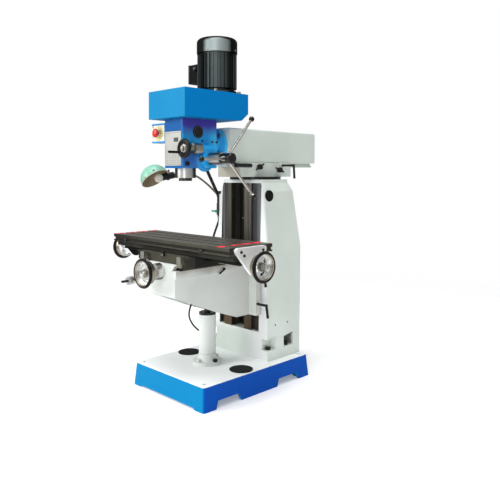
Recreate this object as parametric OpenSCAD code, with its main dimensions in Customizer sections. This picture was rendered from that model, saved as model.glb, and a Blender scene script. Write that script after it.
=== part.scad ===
// A knee-type mill drill: base, column, swivelling turret with a sliding ram, tilting belt-driven head,
// and a knee that carries the saddle and the table.
// The front of the machine faces -Y, +X is the operator's right, +Z is up.
// The origin is on the floor, in the middle of the four anchor holes.

/* [Base] */
// Width of the base's top plate
base_w = 475; // [450:5:540]
// Depth of the base's top plate
base_d = 646; // [630:2:700]
// Height of the base
base_h = 100; // [85:1:130]
// Flare of each side at the floor
base_flare = 8; // [4:1:14]
// Wall of the base casting
base_wall = 14; // [10:1:18]
// Height of the cut-outs in the long sides
base_side_cut_h = 32; // [20:1:40]
// Height of the cut-outs in the short sides
base_front_cut_h = 8; // [5:1:14]
// Distance between the anchor holes, left to right
anchor_x = 415; // [395:5:425]
// Distance between the anchor holes, front to back
anchor_y = 586; // [570:2:596]
// Diameter of the anchor holes
anchor_d = 18; // [14:1:22]
// Diameter of the round rubber covers on the base
cover_cap_d = 103; // [80:1:110]

/* [Column] */
// Height of the column above the base
column_h = 829; // [800:1:900]
// Distance from the origin back to the column's guide face
guide_y = 119; // [110:1:130]
// Width of the column at its foot
column_foot_w = 386; // [380:2:420]
// Width of the column at its waist
column_waist_w = 354; // [350:2:380]
// Width of the column under its collar
column_neck_w = 300; // [290:2:320]
// Width of the column's collar
column_top_w = 266; // [262:2:280]
// Depth of the collar behind the guide face
column_top_d = 187; // [180:1:200]
// Wall of the column casting
column_wall = 15; // [10:1:20]
// Front width of the dovetail way
way_w = 185; // [175:1:195]
// Height of the dovetail way in front of the guide face
way_d = 26; // [22:1:30]
// Width of the groove between the two ways
way_groove_w = 85; // [70:1:100]
// Height above the base at which the ways end
way_low = 126; // [120:1:150]
// Diameter of the round cap on the column's side
column_cap_d = 53; // [40:1:60]

/* [Turret and ram] */
// Diameter of the swivel plate
swivel_d = 250; // [230:2:256]
// Thickness of the swivel plate
swivel_t = 12.5; // [10:0.5:16]
// Width of the turret block
turret_w = 160; // [156:1:168]
// Length of the turret block
turret_len = 362; // [340:2:380]
// Height of the turret block
turret_h = 67.5; // [60:0.5:80]
// Width of the ram
ram_w = 140; // [132:1:144]
// Height of the ram
ram_h = 158.5; // [156:0.5:164]
// Distance from the swivel axis forward to the ram's front face
ram_front_reach = 236.5; // [230:0.5:240]
// Distance from the swivel axis back to the ram's rear face
ram_rear_reach = 376; // [350:1:400]

/* [Head] */
// Width of the head casting
head_w = 128; // [122:1:136]
// Depth of the head casting
head_d = 199; // [190:1:210]
// Height of the head casting
head_h = 214; // [212:1:224]
// Diameter of the tilting flange
flange_d = 150; // [140:1:152]
// Thickness of each half of the tilting flange
flange_t = 16; // [12:1:18]
// Length of the neck between the flange and the casting
neck_len = 38; // [34:1:44]
// Distance from the head's front face back to the spindle axis
spindle_back = 68; // [64:1:72]
// Diameter of the quill
quill_d = 92; // [86:1:94]
// Length of the quill
quill_len = 182; // [176:1:186]
// How far the quill stands out of the head at rest
quill_out = 43; // [35:1:50]
// Quill travel
quill_travel = 120; // [100:1:122]
// Diameter of the spindle nose
nose_d = 58; // [52:1:64]
// Length of the spindle nose
nose_len = 13; // [10:1:18]
// Diameter of the spindle in the quill
spindle_d = 50; // [46:1:52]
// Diameter of the splined top of the spindle
spline_d = 28; // [26:1:30]
// Diameter of the drawbar bore through the spindle
drawbar_d = 17; // [13:0.5:18]
// Large diameter of the spindle taper
taper_large_d = 31.3; // [29:0.1:33]
// Small diameter of the spindle taper
taper_small_d = 25.9; // [24:0.1:27]
// Length of the spindle taper
taper_len = 102; // [90:1:110]

/* [Belt cover] */
// Width of the belt cover
cover_w = 253; // [246:1:262]
// Length of the belt cover
cover_len = 378; // [372:1:390]
// Height of the belt cover
cover_h = 121.5; // [119:0.5:130]
// Wall of the belt cover
cover_wall = 3; // [2:0.5:4]
// How far the cover stands out in front of the head
cover_front = 37; // [33:1:42]
// Distance from the spindle axis back to the motor axis
belt_centres = 186; // [178:1:190]

/* [Motor] */
// Diameter of the motor over its fins
motor_d = 182; // [168:1:182]
// Height of the motor body above its foot plate
motor_h = 182; // [170:1:210]
// Diameter of the fan cowl
cowl_d = 187; // [184:1:196]
// Height of the fan cowl
cowl_h = 69; // [66:1:84]
// Thickness of the motor's foot plate
foot_plate_t = 8; // [6:0.5:10]

/* [Quill feed] */
// Distance from the spindle axis back to the pinion axis
pinion_back = 57; // [55:1:59]
// Distance from the tilt axis down to the pinion axis
pinion_down = 67; // [64:1:70]
// Pitch diameter of the quill pinion
pinion_d = 40; // [38:0.5:42]
// Diameter of the pinion shaft
pinion_shaft_d = 24; // [20:1:26]
// Diameter of the feed dial
feed_dial_d = 53; // [48:1:56]
// Length of the feed dial
feed_dial_len = 74; // [70:1:76]
// Diameter of the lever hub
feed_hub_d = 46; // [40:1:50]
// Length of the lever hub
feed_hub_len = 61; // [56:1:66]
// Radius at which the levers' balls turn
lever_reach = 190; // [170:1:195]
// Diameter of a lever rod
lever_d = 12; // [8:0.5:14]
// Diameter of a lever's ball
ball_d = 24; // [20:1:26]
// Diameter of the fine feed handwheel
fine_wheel_d = 84; // [70:1:84]

/* [Knee] */
// Height of the knee's top face above the base
knee_z = 455; // [450:1:465]
// Width of the knee
knee_w = 220; // [214:1:230]
// Distance from the guide face forward to the knee's front face
knee_reach = 483; // [475:1:490]
// Height of the knee at its front
knee_front_h = 111; // [106:1:120]
// Height of the knee over the elevation screw
knee_middle_h = 208; // [200:1:212]
// Height of the knee at the column
knee_rear_h = 247; // [240:1:262]
// Width of the knee's flange at the column
knee_flange_w = 300; // [290:2:310]
// Thickness of the knee's walls
knee_wall = 14; // [10:1:16]
// Distance from the guide face forward to the elevation screw
elevation_reach = 217; // [210:1:225]
// Diameter of the elevation screw
elevation_screw_d = 28; // [24:1:30]
// Outer diameter of the elevation tube
tube_d = 77; // [70:1:84]
// Height of the elevation tube above the base
tube_h = 221; // [200:1:224]

/* [Table and saddle] */
// Length of the table
table_len = 800; // [760:5:860]
// Width of the table
table_w = 240; // [230:1:250]
// Height of the table body
table_h = 55; // [50:1:60]
// Number of T-slots
t_slots = 3; // [1:2:3]
// Distance between T-slots
t_slot_pitch = 63; // [56:1:66]
// Width of a T-slot
t_slot_w = 14; // [12:0.5:16]
// Distance from the guide face forward to the middle of the table
table_reach = 334.5; // [332:0.5:340]
// Width of the saddle
saddle_w = 400; // [380:2:420]
// Height of the saddle between knee and table
saddle_h = 42; // [40:0.5:46]
// Height of the knee's dovetail
knee_dovetail_h = 22; // [20:0.5:24]
// Diameter of the table screw
table_screw_d = 24; // [20:1:26]
// Diameter of the handwheels
wheel_d = 125; // [110:1:130]

/* [Lamp and coolant] */
// Diameter of the lamp shade
shade_d = 140; // [120:1:146]
// Diameter of the coolant pipe
pipe_d = 16; // [12:0.5:18]

/* [Hidden] */

// Facets of true round pieces, and of the rounded corners of hulls
round_fn = 72;
hull_fn = 32;
// Overrun of every cut
over = 1;
// Gap between faces that slide on each other, and radial gap of a turning fit
slide_gap = 0.2;
fit_gap = 0.05;
// Gap between curved pieces that pass each other
pass_gap = 0.3;
// Angle of every dovetail's flank
dovetail_a = 55;

// Heights from the floor up
column_z = base_h + column_h;
turret_z = column_z + swivel_t;
ram_z = turret_z + turret_h;
tilt_z = ram_z + ram_h / 2;
head_z = tilt_z - head_h / 2;
cover_z = tilt_z + head_h / 2;
motor_z = cover_z + cover_h + foot_plate_t;
cowl_z = motor_z + motor_h;
pinion_z = tilt_z - pinion_down;
quill_z = head_z - quill_out;
nose_z = quill_z - nose_len;
knee_top = base_h + knee_z;
saddle_z = knee_top + knee_dovetail_h;
table_z = saddle_z + saddle_h;
table_top = table_z + table_h;

// Places from the column forwards
swivel_y = guide_y + column_top_d / 2;
ram_front = swivel_y - ram_front_reach;
head_back = ram_front - 2 * flange_t - neck_len;
head_front = head_back - head_d;
tilt_y = ram_front - flange_t;
spindle_y = head_front + spindle_back;
motor_y = spindle_y + belt_centres;
pinion_y = spindle_y + pinion_back;
way_y = guide_y - way_d;
knee_front = guide_y - knee_reach;
elevation_y = guide_y - elevation_reach;
table_y = guide_y - table_reach;

// Plain shapes used by many pieces
module post(d, h) {
    cylinder(d = d, h = h, $fn = round_fn);
}
module rod_x(d, len) {
    rotate([0, 90, 0]) post(d, len);
}
module rod_y(d, len) {
    rotate([-90, 0, 0]) post(d, len);
}
// A rod from one point to another
module rod_between(from, to, d) {
    run = to - from;
    turn = atan2(run[1], run[0]);
    lean = acos(run[2] / norm(run));
    translate(from) rotate([0, lean, turn]) post(d, norm(run));
}
// A block with rounded upright edges, standing on the middle of its foot
module rounded_block(size, r) {
    hull() for (x = [-1, 1], y = [-1, 1])
        translate([x * (size[0] / 2 - r), y * (size[1] / 2 - r), 0])
            cylinder(r = r, h = size[2], $fn = hull_fn);
}
// A block standing on the middle of its foot
module block(size) {
    translate([-size[0] / 2, -size[1] / 2, 0]) cube(size);
}
// An outline in Y and Z, drawn along X
module along_x(len) {
    rotate([90, 0, 90]) linear_extrude(height = len, center = true) children();
}
// An outline in X and Z, drawn along Y
module along_y(len) {
    rotate([90, 0, 0]) linear_extrude(height = len, center = true) children();
}
// Width that a dovetail loses over a height
function dovetail_loss(h) = 2 * h / tan(dovetail_a);
module at_anchors() {
    for (x = [-1, 1], y = [-1, 1]) translate([x * anchor_x / 2, y * anchor_y / 2, 0]) children();
}
module both_sides() {
    children();
    mirror([1, 0, 0]) children();
}

// Smooth path through chosen points, and the closed tube along it
function unit(v) = v / norm(v);
function on_curve(a, b, c, d, s) =
    (2 * b + (c - a) * s + (2 * a - 5 * b + 4 * c - d) * s * s + (3 * b - a - 3 * c + d) * s * s * s) / 2;
function smooth_path(p, steps) = concat(
    [for (i = [0 : len(p) - 2], k = [0 : steps - 1])
        on_curve(p[max(i - 1, 0)], p[i], p[i + 1], p[min(i + 2, len(p) - 1)], k / steps)],
    [p[len(p) - 1]]
);
module tube_along(path, d, sides, side_way) {
    last = len(path) - 1;
    rings = [
        for (i = [0 : last])
            let (
                along = unit(path[min(i + 1, last)] - path[max(i - 1, 0)]),
                across = unit(cross(along, side_way)),
                up = cross(across, along)
            )
            for (k = [0 : sides - 1])
                path[i] + d / 2 * (across * cos(360 * k / sides) + up * sin(360 * k / sides))
    ];
    walls = [
        for (i = [0 : last - 1], k = [0 : sides - 1])
            let (a = i * sides + k, b = i * sides + (k + 1) % sides)
            each [[a, b, b + sides], [a, b + sides, a + sides]]
    ];
    first_cap = [for (k = [1 : sides - 2]) [0, k + 1, k]];
    last_cap = [for (k = [1 : sides - 2]) [last * sides, last * sides + k, last * sides + k + 1]];
    polyhedron(rings, concat(walls, first_cap, last_cap));
}

// BASE
// Radius of the base's upright corners
base_corner_r = 14;
// Slope of the cut-outs' ends, and the places of the feet along the long sides
foot_slope = 14;
side_cuts = [[-263, -116], [104, 254]];
foot_front_w = 45;
cover_cap_x = 179;
cover_cap_y = -58;
cover_cap_rim = 4;
cover_cap_t = 3;
anchor_pad_d = 56;
screw_hole_d = 40;
flange_bolt_d = 10;
tube_flange_d = 131;
tube_flange_t = 14;
tube_bolt_pcd = 108;
column_bolt_d = 14;

module base_shape(inset, bottom, top) {
    hull() for (x = [-1, 1], y = [-1, 1], level = [0, 1]) {
        spread = (1 - level) * base_flare;
        translate([
            x * (base_w / 2 + spread - base_corner_r - inset),
            y * (base_d / 2 + spread - base_corner_r - inset),
            level == 0 ? bottom : top - over
        ]) cylinder(r = base_corner_r, h = over, $fn = hull_fn);
    }
}
module base() {
    color("royalblue") difference() {
        union() {
            difference() {
                base_shape(0, 0, base_h);
                base_shape(base_wall, -2 * over, base_h - base_wall);
            }
            at_anchors() post(anchor_pad_d, base_h - over);
        }
        at_anchors() translate([0, 0, -over]) post(anchor_d, base_h + 2 * over);
        for (cut = side_cuts) along_x(base_w + 4 * base_flare)
            polygon([
                [cut[0], -over], [cut[0] + foot_slope, base_side_cut_h],
                [cut[1] - foot_slope, base_side_cut_h], [cut[1], -over]
            ]);
        along_y(base_d + 4 * base_flare) polygon([
            [-base_w / 2 + foot_front_w, -over],
                [-base_w / 2 + foot_front_w + foot_slope, base_front_cut_h],
            [base_w / 2 - foot_front_w - foot_slope, base_front_cut_h], [base_w / 2 - foot_front_w, -over]
        ]);
        both_sides() translate([cover_cap_x, cover_cap_y, base_h - 2 * base_wall])
            post(cover_cap_d - 2 * cover_cap_rim, 3 * base_wall);
        translate([0, elevation_y, base_h - 2 * base_wall]) post(screw_hole_d, 3 * base_wall);
        at_column_bolts() translate([0, 0, base_h - 2 * base_wall]) post(column_bolt_d, 3 * base_wall);
        at_tube_bolts() translate([0, 0, base_h - 2 * base_wall]) post(flange_bolt_d, 3 * base_wall);
    }
}
module base_hole_covers() {
    color("black") both_sides() translate([cover_cap_x, cover_cap_y, base_h]) {
        post(cover_cap_d, cover_cap_t);
        translate([0, 0, -base_wall])
            post(cover_cap_d - 2 * cover_cap_rim - 2 * fit_gap, base_wall + over);
    }
}

// COLUMN
// Heights of the waist and the neck as shares of the column's height
waist_share = 0.61;
neck_share = 0.93;
collar_t = 16;
collar_corner_r = 12;
// How far the cheeks stand in front of the guide face, and the column's depth behind it, by level
foot_lead = 24;
waist_lead = 6;
neck_lead = 2;
foot_depth = 206;
waist_depth = 232;
neck_depth = 206;
column_corner_r = 10;
way_groove_d = 30;
// Flange at the column's foot that the pockets' bolts go through
column_flange_t = 47;
pocket_w = 68;
pocket_h = 61;
pocket_drop = 12;
pocket_d = 38;
pocket_places = [4.6, 123.8];
column_bolt_in = 24;
cap_y = 31;
cap_drop = 76;
cap_t = 5;
cap_plug_d = 44;
side_screw_d = 8;
side_screw_z = 166;
pad_z = 655;
pad_h = 100;
pad_w = 64;
pad_y = 38;
pad_x = 165;

function column_levels() = [
    [0, column_foot_w, foot_lead, foot_depth],
    [column_h * waist_share, column_waist_w, waist_lead, waist_depth],
    [column_h * neck_share, column_neck_w, neck_lead, neck_depth],
    [column_h - collar_t, column_top_w, 0, column_top_d]
];
function cheek_half_width(z) = lookup(z, [for (level = column_levels()) [level[0], level[1] / 2]]);
module column_shape(inset, front_inset, low, high) {
    r = column_corner_r;
    hull() for (level = column_levels(), x = [-1, 1], y = [0, 1]) {
        z = max(low, min(high, level[0]));
        front = guide_y - level[2] + front_inset;
        back = guide_y + level[3] - inset;
        translate([x * (level[1] / 2 - inset - r), y == 0 ? front + r : back - r, base_h + z])
            cylinder(r = r, h = over, $fn = hull_fn);
    }
}
module at_column_bolts() {
    both_sides() for (y = pocket_places)
        translate([column_foot_w / 2 - column_bolt_in, guide_y + y, 0]) children();
}
module dovetail_way() {
    root = way_w - dovetail_loss(way_d);
    polygon([
        [-way_w / 2, way_y], [way_w / 2, way_y], [root / 2, guide_y],
        [root / 2, guide_y + over], [-root / 2, guide_y + over], [-root / 2, guide_y]
    ]);
}
module column() {
    recess_w = column_top_w;
    way_z = base_h + way_low;
    way_top = column_z - collar_t;
    color("white") difference() {
        union() {
            difference() {
                column_shape(0, 0, 0, column_h);
                translate([-recess_w / 2, guide_y - knee_reach, way_z])
                    cube([recess_w, knee_reach, way_top - way_z + 2 * over]);
            }
            translate([0, 0, way_z]) linear_extrude(height = way_top - way_z) dovetail_way();
            translate([0, guide_y + column_top_d / 2, way_top])
                rounded_block([column_top_w, column_top_d, collar_t], collar_corner_r);
            translate([-pad_x, guide_y + pad_y - pad_w / 2, base_h + pad_z])
                cube([pad_x - column_top_w / 2 + column_wall, pad_w, pad_h]);
        }
        column_shape(column_wall, way_groove_d + foot_lead + column_wall, column_flange_t,
            column_h - collar_t - 2 * column_wall);
        translate([-way_groove_w / 2, way_y - over, way_z - over])
            cube([way_groove_w, way_d + way_groove_d + over, way_top - way_z + over]);
        both_sides() for (y = pocket_places)
            translate([column_foot_w / 2 - pocket_d, guide_y + y - pocket_w / 2,
                base_h + column_flange_t])
                rotate([90, 0, 90]) linear_extrude(height = 2 * pocket_d)
                    polygon([[0, 0], [pocket_w, 0], [pocket_w, pocket_h], [0, pocket_h - pocket_drop]]);
        at_column_bolts() translate([0, 0, base_h - over])
            post(column_bolt_d, column_flange_t + 2 * over);
        translate([0, guide_y + cap_y, column_z - cap_drop]) {
            rod_x(cap_plug_d, column_foot_w);
            translate([cheek_half_width(column_h - cap_drop - column_cap_d / 2) - 2 * cap_t, 0, 0])
                rod_x(column_cap_d + 2 * fit_gap, column_foot_w);
        }
        translate([0, swivel_y, column_z - collar_t - 3 * column_wall])
            post(pivot_d, 4 * column_wall + collar_t);
    }
}
module column_cap() {
    color("black")
        translate([cheek_half_width(column_h - cap_drop - column_cap_d / 2) - 2 * cap_t, guide_y + cap_y,
                column_z - cap_drop]) {
            rod_x(column_cap_d, 2 * cap_t);
            translate([-column_wall, 0, 0]) rod_x(cap_plug_d - 2 * fit_gap, column_wall + over);
        }
}
// Bolts of the column's foot and of the tube's flange, and the gland of the knee's hose
bolt_head_h = 12;
column_bolt_head_d = 24;
module base_bolts() {
    color("dimgray") {
        at_column_bolts() {
            translate([0, 0, base_h + column_flange_t]) post(column_bolt_head_d, bolt_head_h);
            translate([0, 0, base_h - base_wall])
                post(column_bolt_d - 2 * fit_gap, column_flange_t + base_wall + over);
        }
        at_tube_bolts() {
            translate([0, 0, base_h + tube_flange_t])
                cylinder(d = 2 * flange_bolt_d, h = bolt_head_h, $fn = 6);
            translate([0, 0, base_h - base_wall])
                post(flange_bolt_d - 2 * fit_gap, tube_flange_t + base_wall + over);
        }
        translate([knee_hose_end_x, knee_hose_end_y, base_h]) post(2 * knee_hose_d, hose_gland_h);
    }
}

// ELEVATION TUBE AND SCREW
tube_wall = 9;
nut_len = 36;
nut_rim_t = 9;
module at_tube_bolts() {
    for (a = [0 : 90 : 270]) translate([0, elevation_y, 0]) rotate(a)
        translate([tube_bolt_pcd / 2, 0, 0]) children();
}
module elevation_tube() {
    color("white") difference() {
        translate([0, elevation_y, base_h]) difference() {
            union() {
                post(tube_flange_d, tube_flange_t);
                post(tube_d, tube_h);
            }
            translate([0, 0, -over]) post(tube_d - 2 * tube_wall, tube_h + 2 * over);
        }
        at_tube_bolts() translate([0, 0, base_h - over]) post(flange_bolt_d, tube_flange_t + 2 * over);
    }
}
module elevation_nut() {
    color("black") translate([0, elevation_y, base_h + tube_h]) difference() {
        union() {
            post(tube_d, nut_rim_t);
            translate([0, 0, -nut_len]) post(tube_d - 2 * tube_wall - 2 * fit_gap, nut_len + over);
        }
        translate([0, 0, -nut_len - over])
            post(elevation_screw_d + 2 * pass_gap, nut_len + nut_rim_t + 2 * over);
    }
}

// SWIVEL PLATE
pivot_d = 40;
pivot_len = 52;
module swivel_plate() {
    color("black") translate([0, swivel_y, column_z]) {
        post(swivel_d, swivel_t);
        translate([0, 0, -pivot_len]) post(pivot_d - 2 * fit_gap, pivot_len + over);
        translate([0, 0, swivel_t - over]) post(pivot_d, swivel_t + over);
    }
}

// LEFT SIDE BRACKET, TAP, PIPE AND HOSES
bracket_t = 10;
bracket_top = 870;
bracket_low = 752;
pipe_x = -195;
tap_y = 146;
tap_z = 767;
tap_body_d = 20;
lamp_mount_y = 170;
lamp_mount_z = 798;
pipe_bend = [-195, 146, 842];
pipe_end = [-170, 24, 1012];
hose_d = 11;
hose_gland_d = 16;
hose_gland_h = 12;
hose_end_x = -222;
hose_end_y = 100;
hose_end_z = 112;
// Points chosen by hand along the hose
coolant_hose_points = [
    [-195, 146, 747], [-195, 146, 736], [-195, 146, 716], [-200, 120, 650], [-214, 104, 560],
    [-222, 100, 420], [-222, 100, 250], [-222, 100, 112]
];
module at_hose_end() {
    translate([hose_end_x, hose_end_y, 0]) children();
}
module side_bracket() {
    color("dimgray") {
        translate([-pad_x - bracket_t, guide_y + pad_y - pad_w / 2, bracket_low])
            cube([bracket_t, pad_w, bracket_top - bracket_low]);
        translate([pipe_x, tap_y, tap_z - tap_body_d]) post(tap_body_d, 3 * tap_body_d);
        translate([pipe_x, tap_y, tap_z]) rod_x(tap_body_d, -pad_x - bracket_t - pipe_x + over);
        translate([pipe_x, lamp_mount_y, lamp_mount_z - bracket_t]) post(lamp_joint_d, bracket_t);
        translate([pipe_x, lamp_mount_y - bracket_t / 2, lamp_mount_z - bracket_t])
            cube([-pad_x - bracket_t - pipe_x + over, bracket_t, bracket_t]);
        at_hose_end() translate([0, 0, base_h]) post(2 * hose_gland_d, hose_gland_h);
    }
}
tap_stem_d = 8;
tap_handle_len = 34;
module tap_lever() {
    color("seagreen") translate([pipe_x, tap_y - tap_body_d / 2, tap_z]) {
        translate([0, -tap_stem_d, 0]) rod_y(2 * tap_stem_d, tap_stem_d - pass_gap);
        translate([-tap_handle_len, -tap_stem_d, -tap_stem_d / 2])
            cube([tap_handle_len, tap_stem_d / 2, tap_stem_d]);
    }
}
module coolant_pipe() {
    color("black") {
        translate([pipe_x, tap_y, tap_z + 2 * tap_body_d])
            post(pipe_d, pipe_bend[2] - tap_z - 2 * tap_body_d);
        translate(pipe_bend) sphere(d = pipe_d + knuckle, $fn = hull_fn);
        rod_between(pipe_bend, pipe_end, pipe_d);
    }
}
module coolant_hose() {
    color("black") tube_along(smooth_path(coolant_hose_points, 4), hose_d, 8, [1, 0, 0]);
}
knee_hose_d = 8;
knee_hose_end_x = -52;
knee_hose_end_y = -42;
// Points chosen by hand along the hose loop under the knee
knee_hose_points = [
    [-50, -140, 408], [-50, -140, 400], [-50, -140, 384], [-55, -154, 348], [-58, -157, 308],
    [-58, -134, 266], [-57, -98, 232], [-54, -62, 199], [-52, -44, 160], [-52, -42, 136],
    [-52, -42, 124], [-52, -42, 112]
];
module knee_hose() {
    color("black") tube_along(smooth_path(knee_hose_points, 3), knee_hose_d, 8, [1, 0, 0]);
}

// WORK LAMP
lamp_joint_d = 22;
lamp_arm_d = 11;
lamp_foot_h = 14;
// Middle of the shade's rim, the way it faces, and where the neck starts
shade_centre = [-330, -149, 932];
shade_facing = [0.594, 0.127, -0.794];
neck_start = [-312, -50, 950];
shade_wall = 2;
socket_d = 34;
socket_len = 62;
bulb_d = 44;
bulb_out = 20;
collar_d = 40;
// Points chosen by hand along the gooseneck
lamp_arm_points = [
    [-195, 170, 812], [-197, 169, 826], [-212, 156, 848], [-233, 102, 904], [-262, 44, 948],
    [-305, -11, 957], [-310, -41, 952], [-312, -50, 950]
];
module lamp_arm() {
    color("dimgray") {
        translate([pipe_x, lamp_mount_y, lamp_mount_z + slide_gap]) post(lamp_joint_d, lamp_foot_h);
        tube_along(smooth_path(lamp_arm_points, 4), lamp_arm_d, 10, [1, 0, 0]);
    }
}
module face_along(way) {
    rotate([0, acos(way[2] / norm(way)), atan2(way[1], way[0])]) children();
}
module socket_cut(d) {
    reach = unit(shade_centre - neck_start);
    rod_between(neck_start, shade_centre - reach * bulb_d / 2, d);
}
module lamp_shade() {
    color("seagreen") difference() {
        translate(shade_centre) face_along(-shade_facing) intersection() {
            difference() {
                sphere(d = shade_d, $fn = round_fn);
                sphere(d = shade_d - 2 * shade_wall, $fn = round_fn);
            }
            post(2 * shade_d, shade_d);
        }
        socket_cut(socket_d + 2 * fit_gap);
    }
}
module lamp_bulb() {
    reach = unit(shade_centre - neck_start);
    color("black") {
        rod_between(neck_start + reach * 2 * pass_gap, neck_start + reach * socket_len, socket_d);
        translate(neck_start + reach * (socket_len + bulb_out)) sphere(d = bulb_d, $fn = round_fn);
    }
}

// TURRET
turret_corner_r = 14;
ram_dovetail_h = 20;
ram_dovetail_w = 96;
gib_t = 6;
boss_d = 24;
boss_len = 8;
clamp_front_y = -66;
clamp_rear_y = 74;
clamp_front_z = -20;
clamp_rear_z = -34;
turret_lever_y = 101;
turret_lever_z = -12;
ram_lever_y = -137;
ram_lever_z = -14;
turret_bolt_hole_d = 12;

module ram_dovetail(gap) {
    wide = ram_dovetail_w + 2 * gap;
    slim = wide - dovetail_loss(ram_dovetail_h);
    polygon([
        [-slim / 2, over], [slim / 2, over], [slim / 2, 0], [wide / 2, -ram_dovetail_h - gap],
        [-wide / 2, -ram_dovetail_h - gap], [-slim / 2, 0]
    ]);
}
module turret() {
    color("lightgray") difference() {
        union() {
            translate([0, swivel_y, turret_z + slide_gap])
                rounded_block([turret_w, turret_len, turret_h - 2 * slide_gap], turret_corner_r);
            for (place = [[clamp_front_y, clamp_front_z], [clamp_rear_y, clamp_rear_z],
                [turret_lever_y, turret_lever_z]])
                translate([turret_w / 2 - over, swivel_y + place[0], ram_z + place[1]])
                    rod_x(boss_d, boss_len + over);
            translate([turret_w / 2 - over, swivel_y + ram_lever_y, ram_z + ram_lever_z])
                rod_x(boss_d / 2, boss_len + over);
        }
        translate([0, swivel_y, ram_z]) along_y(turret_len + 2 * over) {
            ram_dovetail(slide_gap);
            translate([ram_dovetail_w / 2 - dovetail_loss(ram_dovetail_h) / 2,
                -ram_dovetail_h - slide_gap])
                square([gib_t + dovetail_loss(ram_dovetail_h) / 2, ram_dovetail_h + slide_gap + over]);
        }
        translate([0, swivel_y, turret_z - over]) post(pivot_d + 2 * fit_gap, swivel_t + 2 * over);
        both_levers_bores();
    }
}
lever_stud_d = 12;
module both_levers_bores() {
    for (place = [
        [clamp_front_y, clamp_front_z], [clamp_rear_y, clamp_rear_z],
        [turret_lever_y, turret_lever_z], [ram_lever_y, ram_lever_z]
    ])
        translate([turret_w / 2 - lever_stud_d, swivel_y + place[0], ram_z + place[1]])
            rod_x(lever_stud_d + 2 * fit_gap, 2 * lever_stud_d + boss_len);
}
module ram_gib() {
    slim = ram_dovetail_w / 2 - dovetail_loss(ram_dovetail_h) / 2;
    color("gray") translate([0, swivel_y, ram_z]) along_y(turret_len) polygon([
        [slim + 2 * slide_gap, -slide_gap],
            [ram_dovetail_w / 2 + 2 * slide_gap, -ram_dovetail_h - slide_gap],
        [ram_dovetail_w / 2 + gib_t, -ram_dovetail_h - slide_gap],
            [ram_dovetail_w / 2 + gib_t, -slide_gap]
    ]);
}
// A clamp with a cross handle on a stud along X
cross_arm_len = 58;
cross_arm_d = 9;
cross_hub_d = 26;
cross_hub_len = 16;
module cross_clamp(arm_a) {
    translate([boss_len + pass_gap, 0, 0]) rod_x(cross_hub_d, cross_hub_len);
    translate([-lever_stud_d + over, 0, 0])
        rod_x(lever_stud_d, boss_len + lever_stud_d + cross_hub_len / 2);
    rotate([arm_a, 0, 0]) translate([boss_len + cross_hub_len / 2, -cross_arm_len / 2, 0])
        rod_y(cross_arm_d, cross_arm_len);
}
front_clamp_a = 28;
rear_clamp_a = -20;
module ram_clamp_front() {
    color("black") translate([turret_w / 2, swivel_y + clamp_front_y, ram_z + clamp_front_z])
        cross_clamp(front_clamp_a);
}
module ram_clamp_rear() {
    color("black") translate([turret_w / 2, swivel_y + clamp_rear_y, ram_z + clamp_rear_z])
        cross_clamp(rear_clamp_a);
}
// How much thicker a lever's knuckle is than its arms
knuckle = 3;
// An L-shaped clamp lever: a stud along X and an arm that hangs down
module l_lever(out, drop, d, lean) {
    translate([-lever_stud_d + over, 0, 0]) rod_x(lever_stud_d, lever_stud_d);
    translate([pass_gap, 0, 0]) rod_x(d, out - pass_gap);
    translate([out, 0, 0]) sphere(d = d + knuckle, $fn = round_fn);
    rod_between([out, 0, 0], [out + drop * sin(lean), 0, -drop * cos(lean)], d);
}
turret_lever_out = 74;
turret_lever_drop = 64;
turret_lever_d = 11;
turret_lever_lean = 4;
module turret_lever() {
    color("black") translate([turret_w / 2 + boss_len, swivel_y + turret_lever_y, ram_z + turret_lever_z])
        l_lever(turret_lever_out, turret_lever_drop, turret_lever_d, turret_lever_lean);
}
ram_lever_len = 100;
ram_lever_d = 19;
module ram_lever() {
    color("black") translate([turret_w / 2 + boss_len, swivel_y + ram_lever_y, ram_z + ram_lever_z]) {
        translate([-lever_stud_d + over, 0, 0]) rod_x(lever_stud_d, lever_stud_d + ram_lever_d / 2);
        translate([pass_gap + ram_lever_d / 2, ram_lever_d / 2, 0]) rotate([180, 0, 0])
            rod_y(ram_lever_d, ram_lever_len);
    }
}

// RAM
ram_corner_r = 8;
ram_wall = 14;
flange_bolt_pcd = 120;
tilt_bolt_d = 12;
tilt_pin_d = 50;
module ram() {
    body_len = ram_front_reach + ram_rear_reach;
    color("honeydew") difference() {
        union() {
            translate([0, ram_front, tilt_z]) rotate([-90, 0, 0])
                rounded_block([ram_w, ram_h, body_len], ram_corner_r);
            translate([0, tilt_y, tilt_z]) rod_y(flange_d, flange_t + over);
            translate([0, ram_front + body_len / 2, ram_z]) along_y(body_len) ram_dovetail(0);
        }
        translate([0, ram_front + 2 * ram_wall, tilt_z]) rotate([-90, 0, 0])
            rounded_block([ram_w - 2 * ram_wall, ram_h - 2 * ram_wall, body_len - 3 * ram_wall],
                ram_corner_r / 2);
        translate([0, tilt_y - over, tilt_z]) rod_y(tilt_pin_d + 2 * fit_gap, flange_t + 3 * ram_wall);
        translate([0, tilt_y - over, tilt_z]) difference() {
            rod_y(flange_bolt_pcd + tilt_bolt_d + 2 * pass_gap, flange_t + over);
            translate([0, -over, 0])
                rod_y(flange_bolt_pcd - tilt_bolt_d - 2 * pass_gap, flange_t + 3 * over);
        }
    }
}

// HEAD
head_corner_r = 9;
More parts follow.
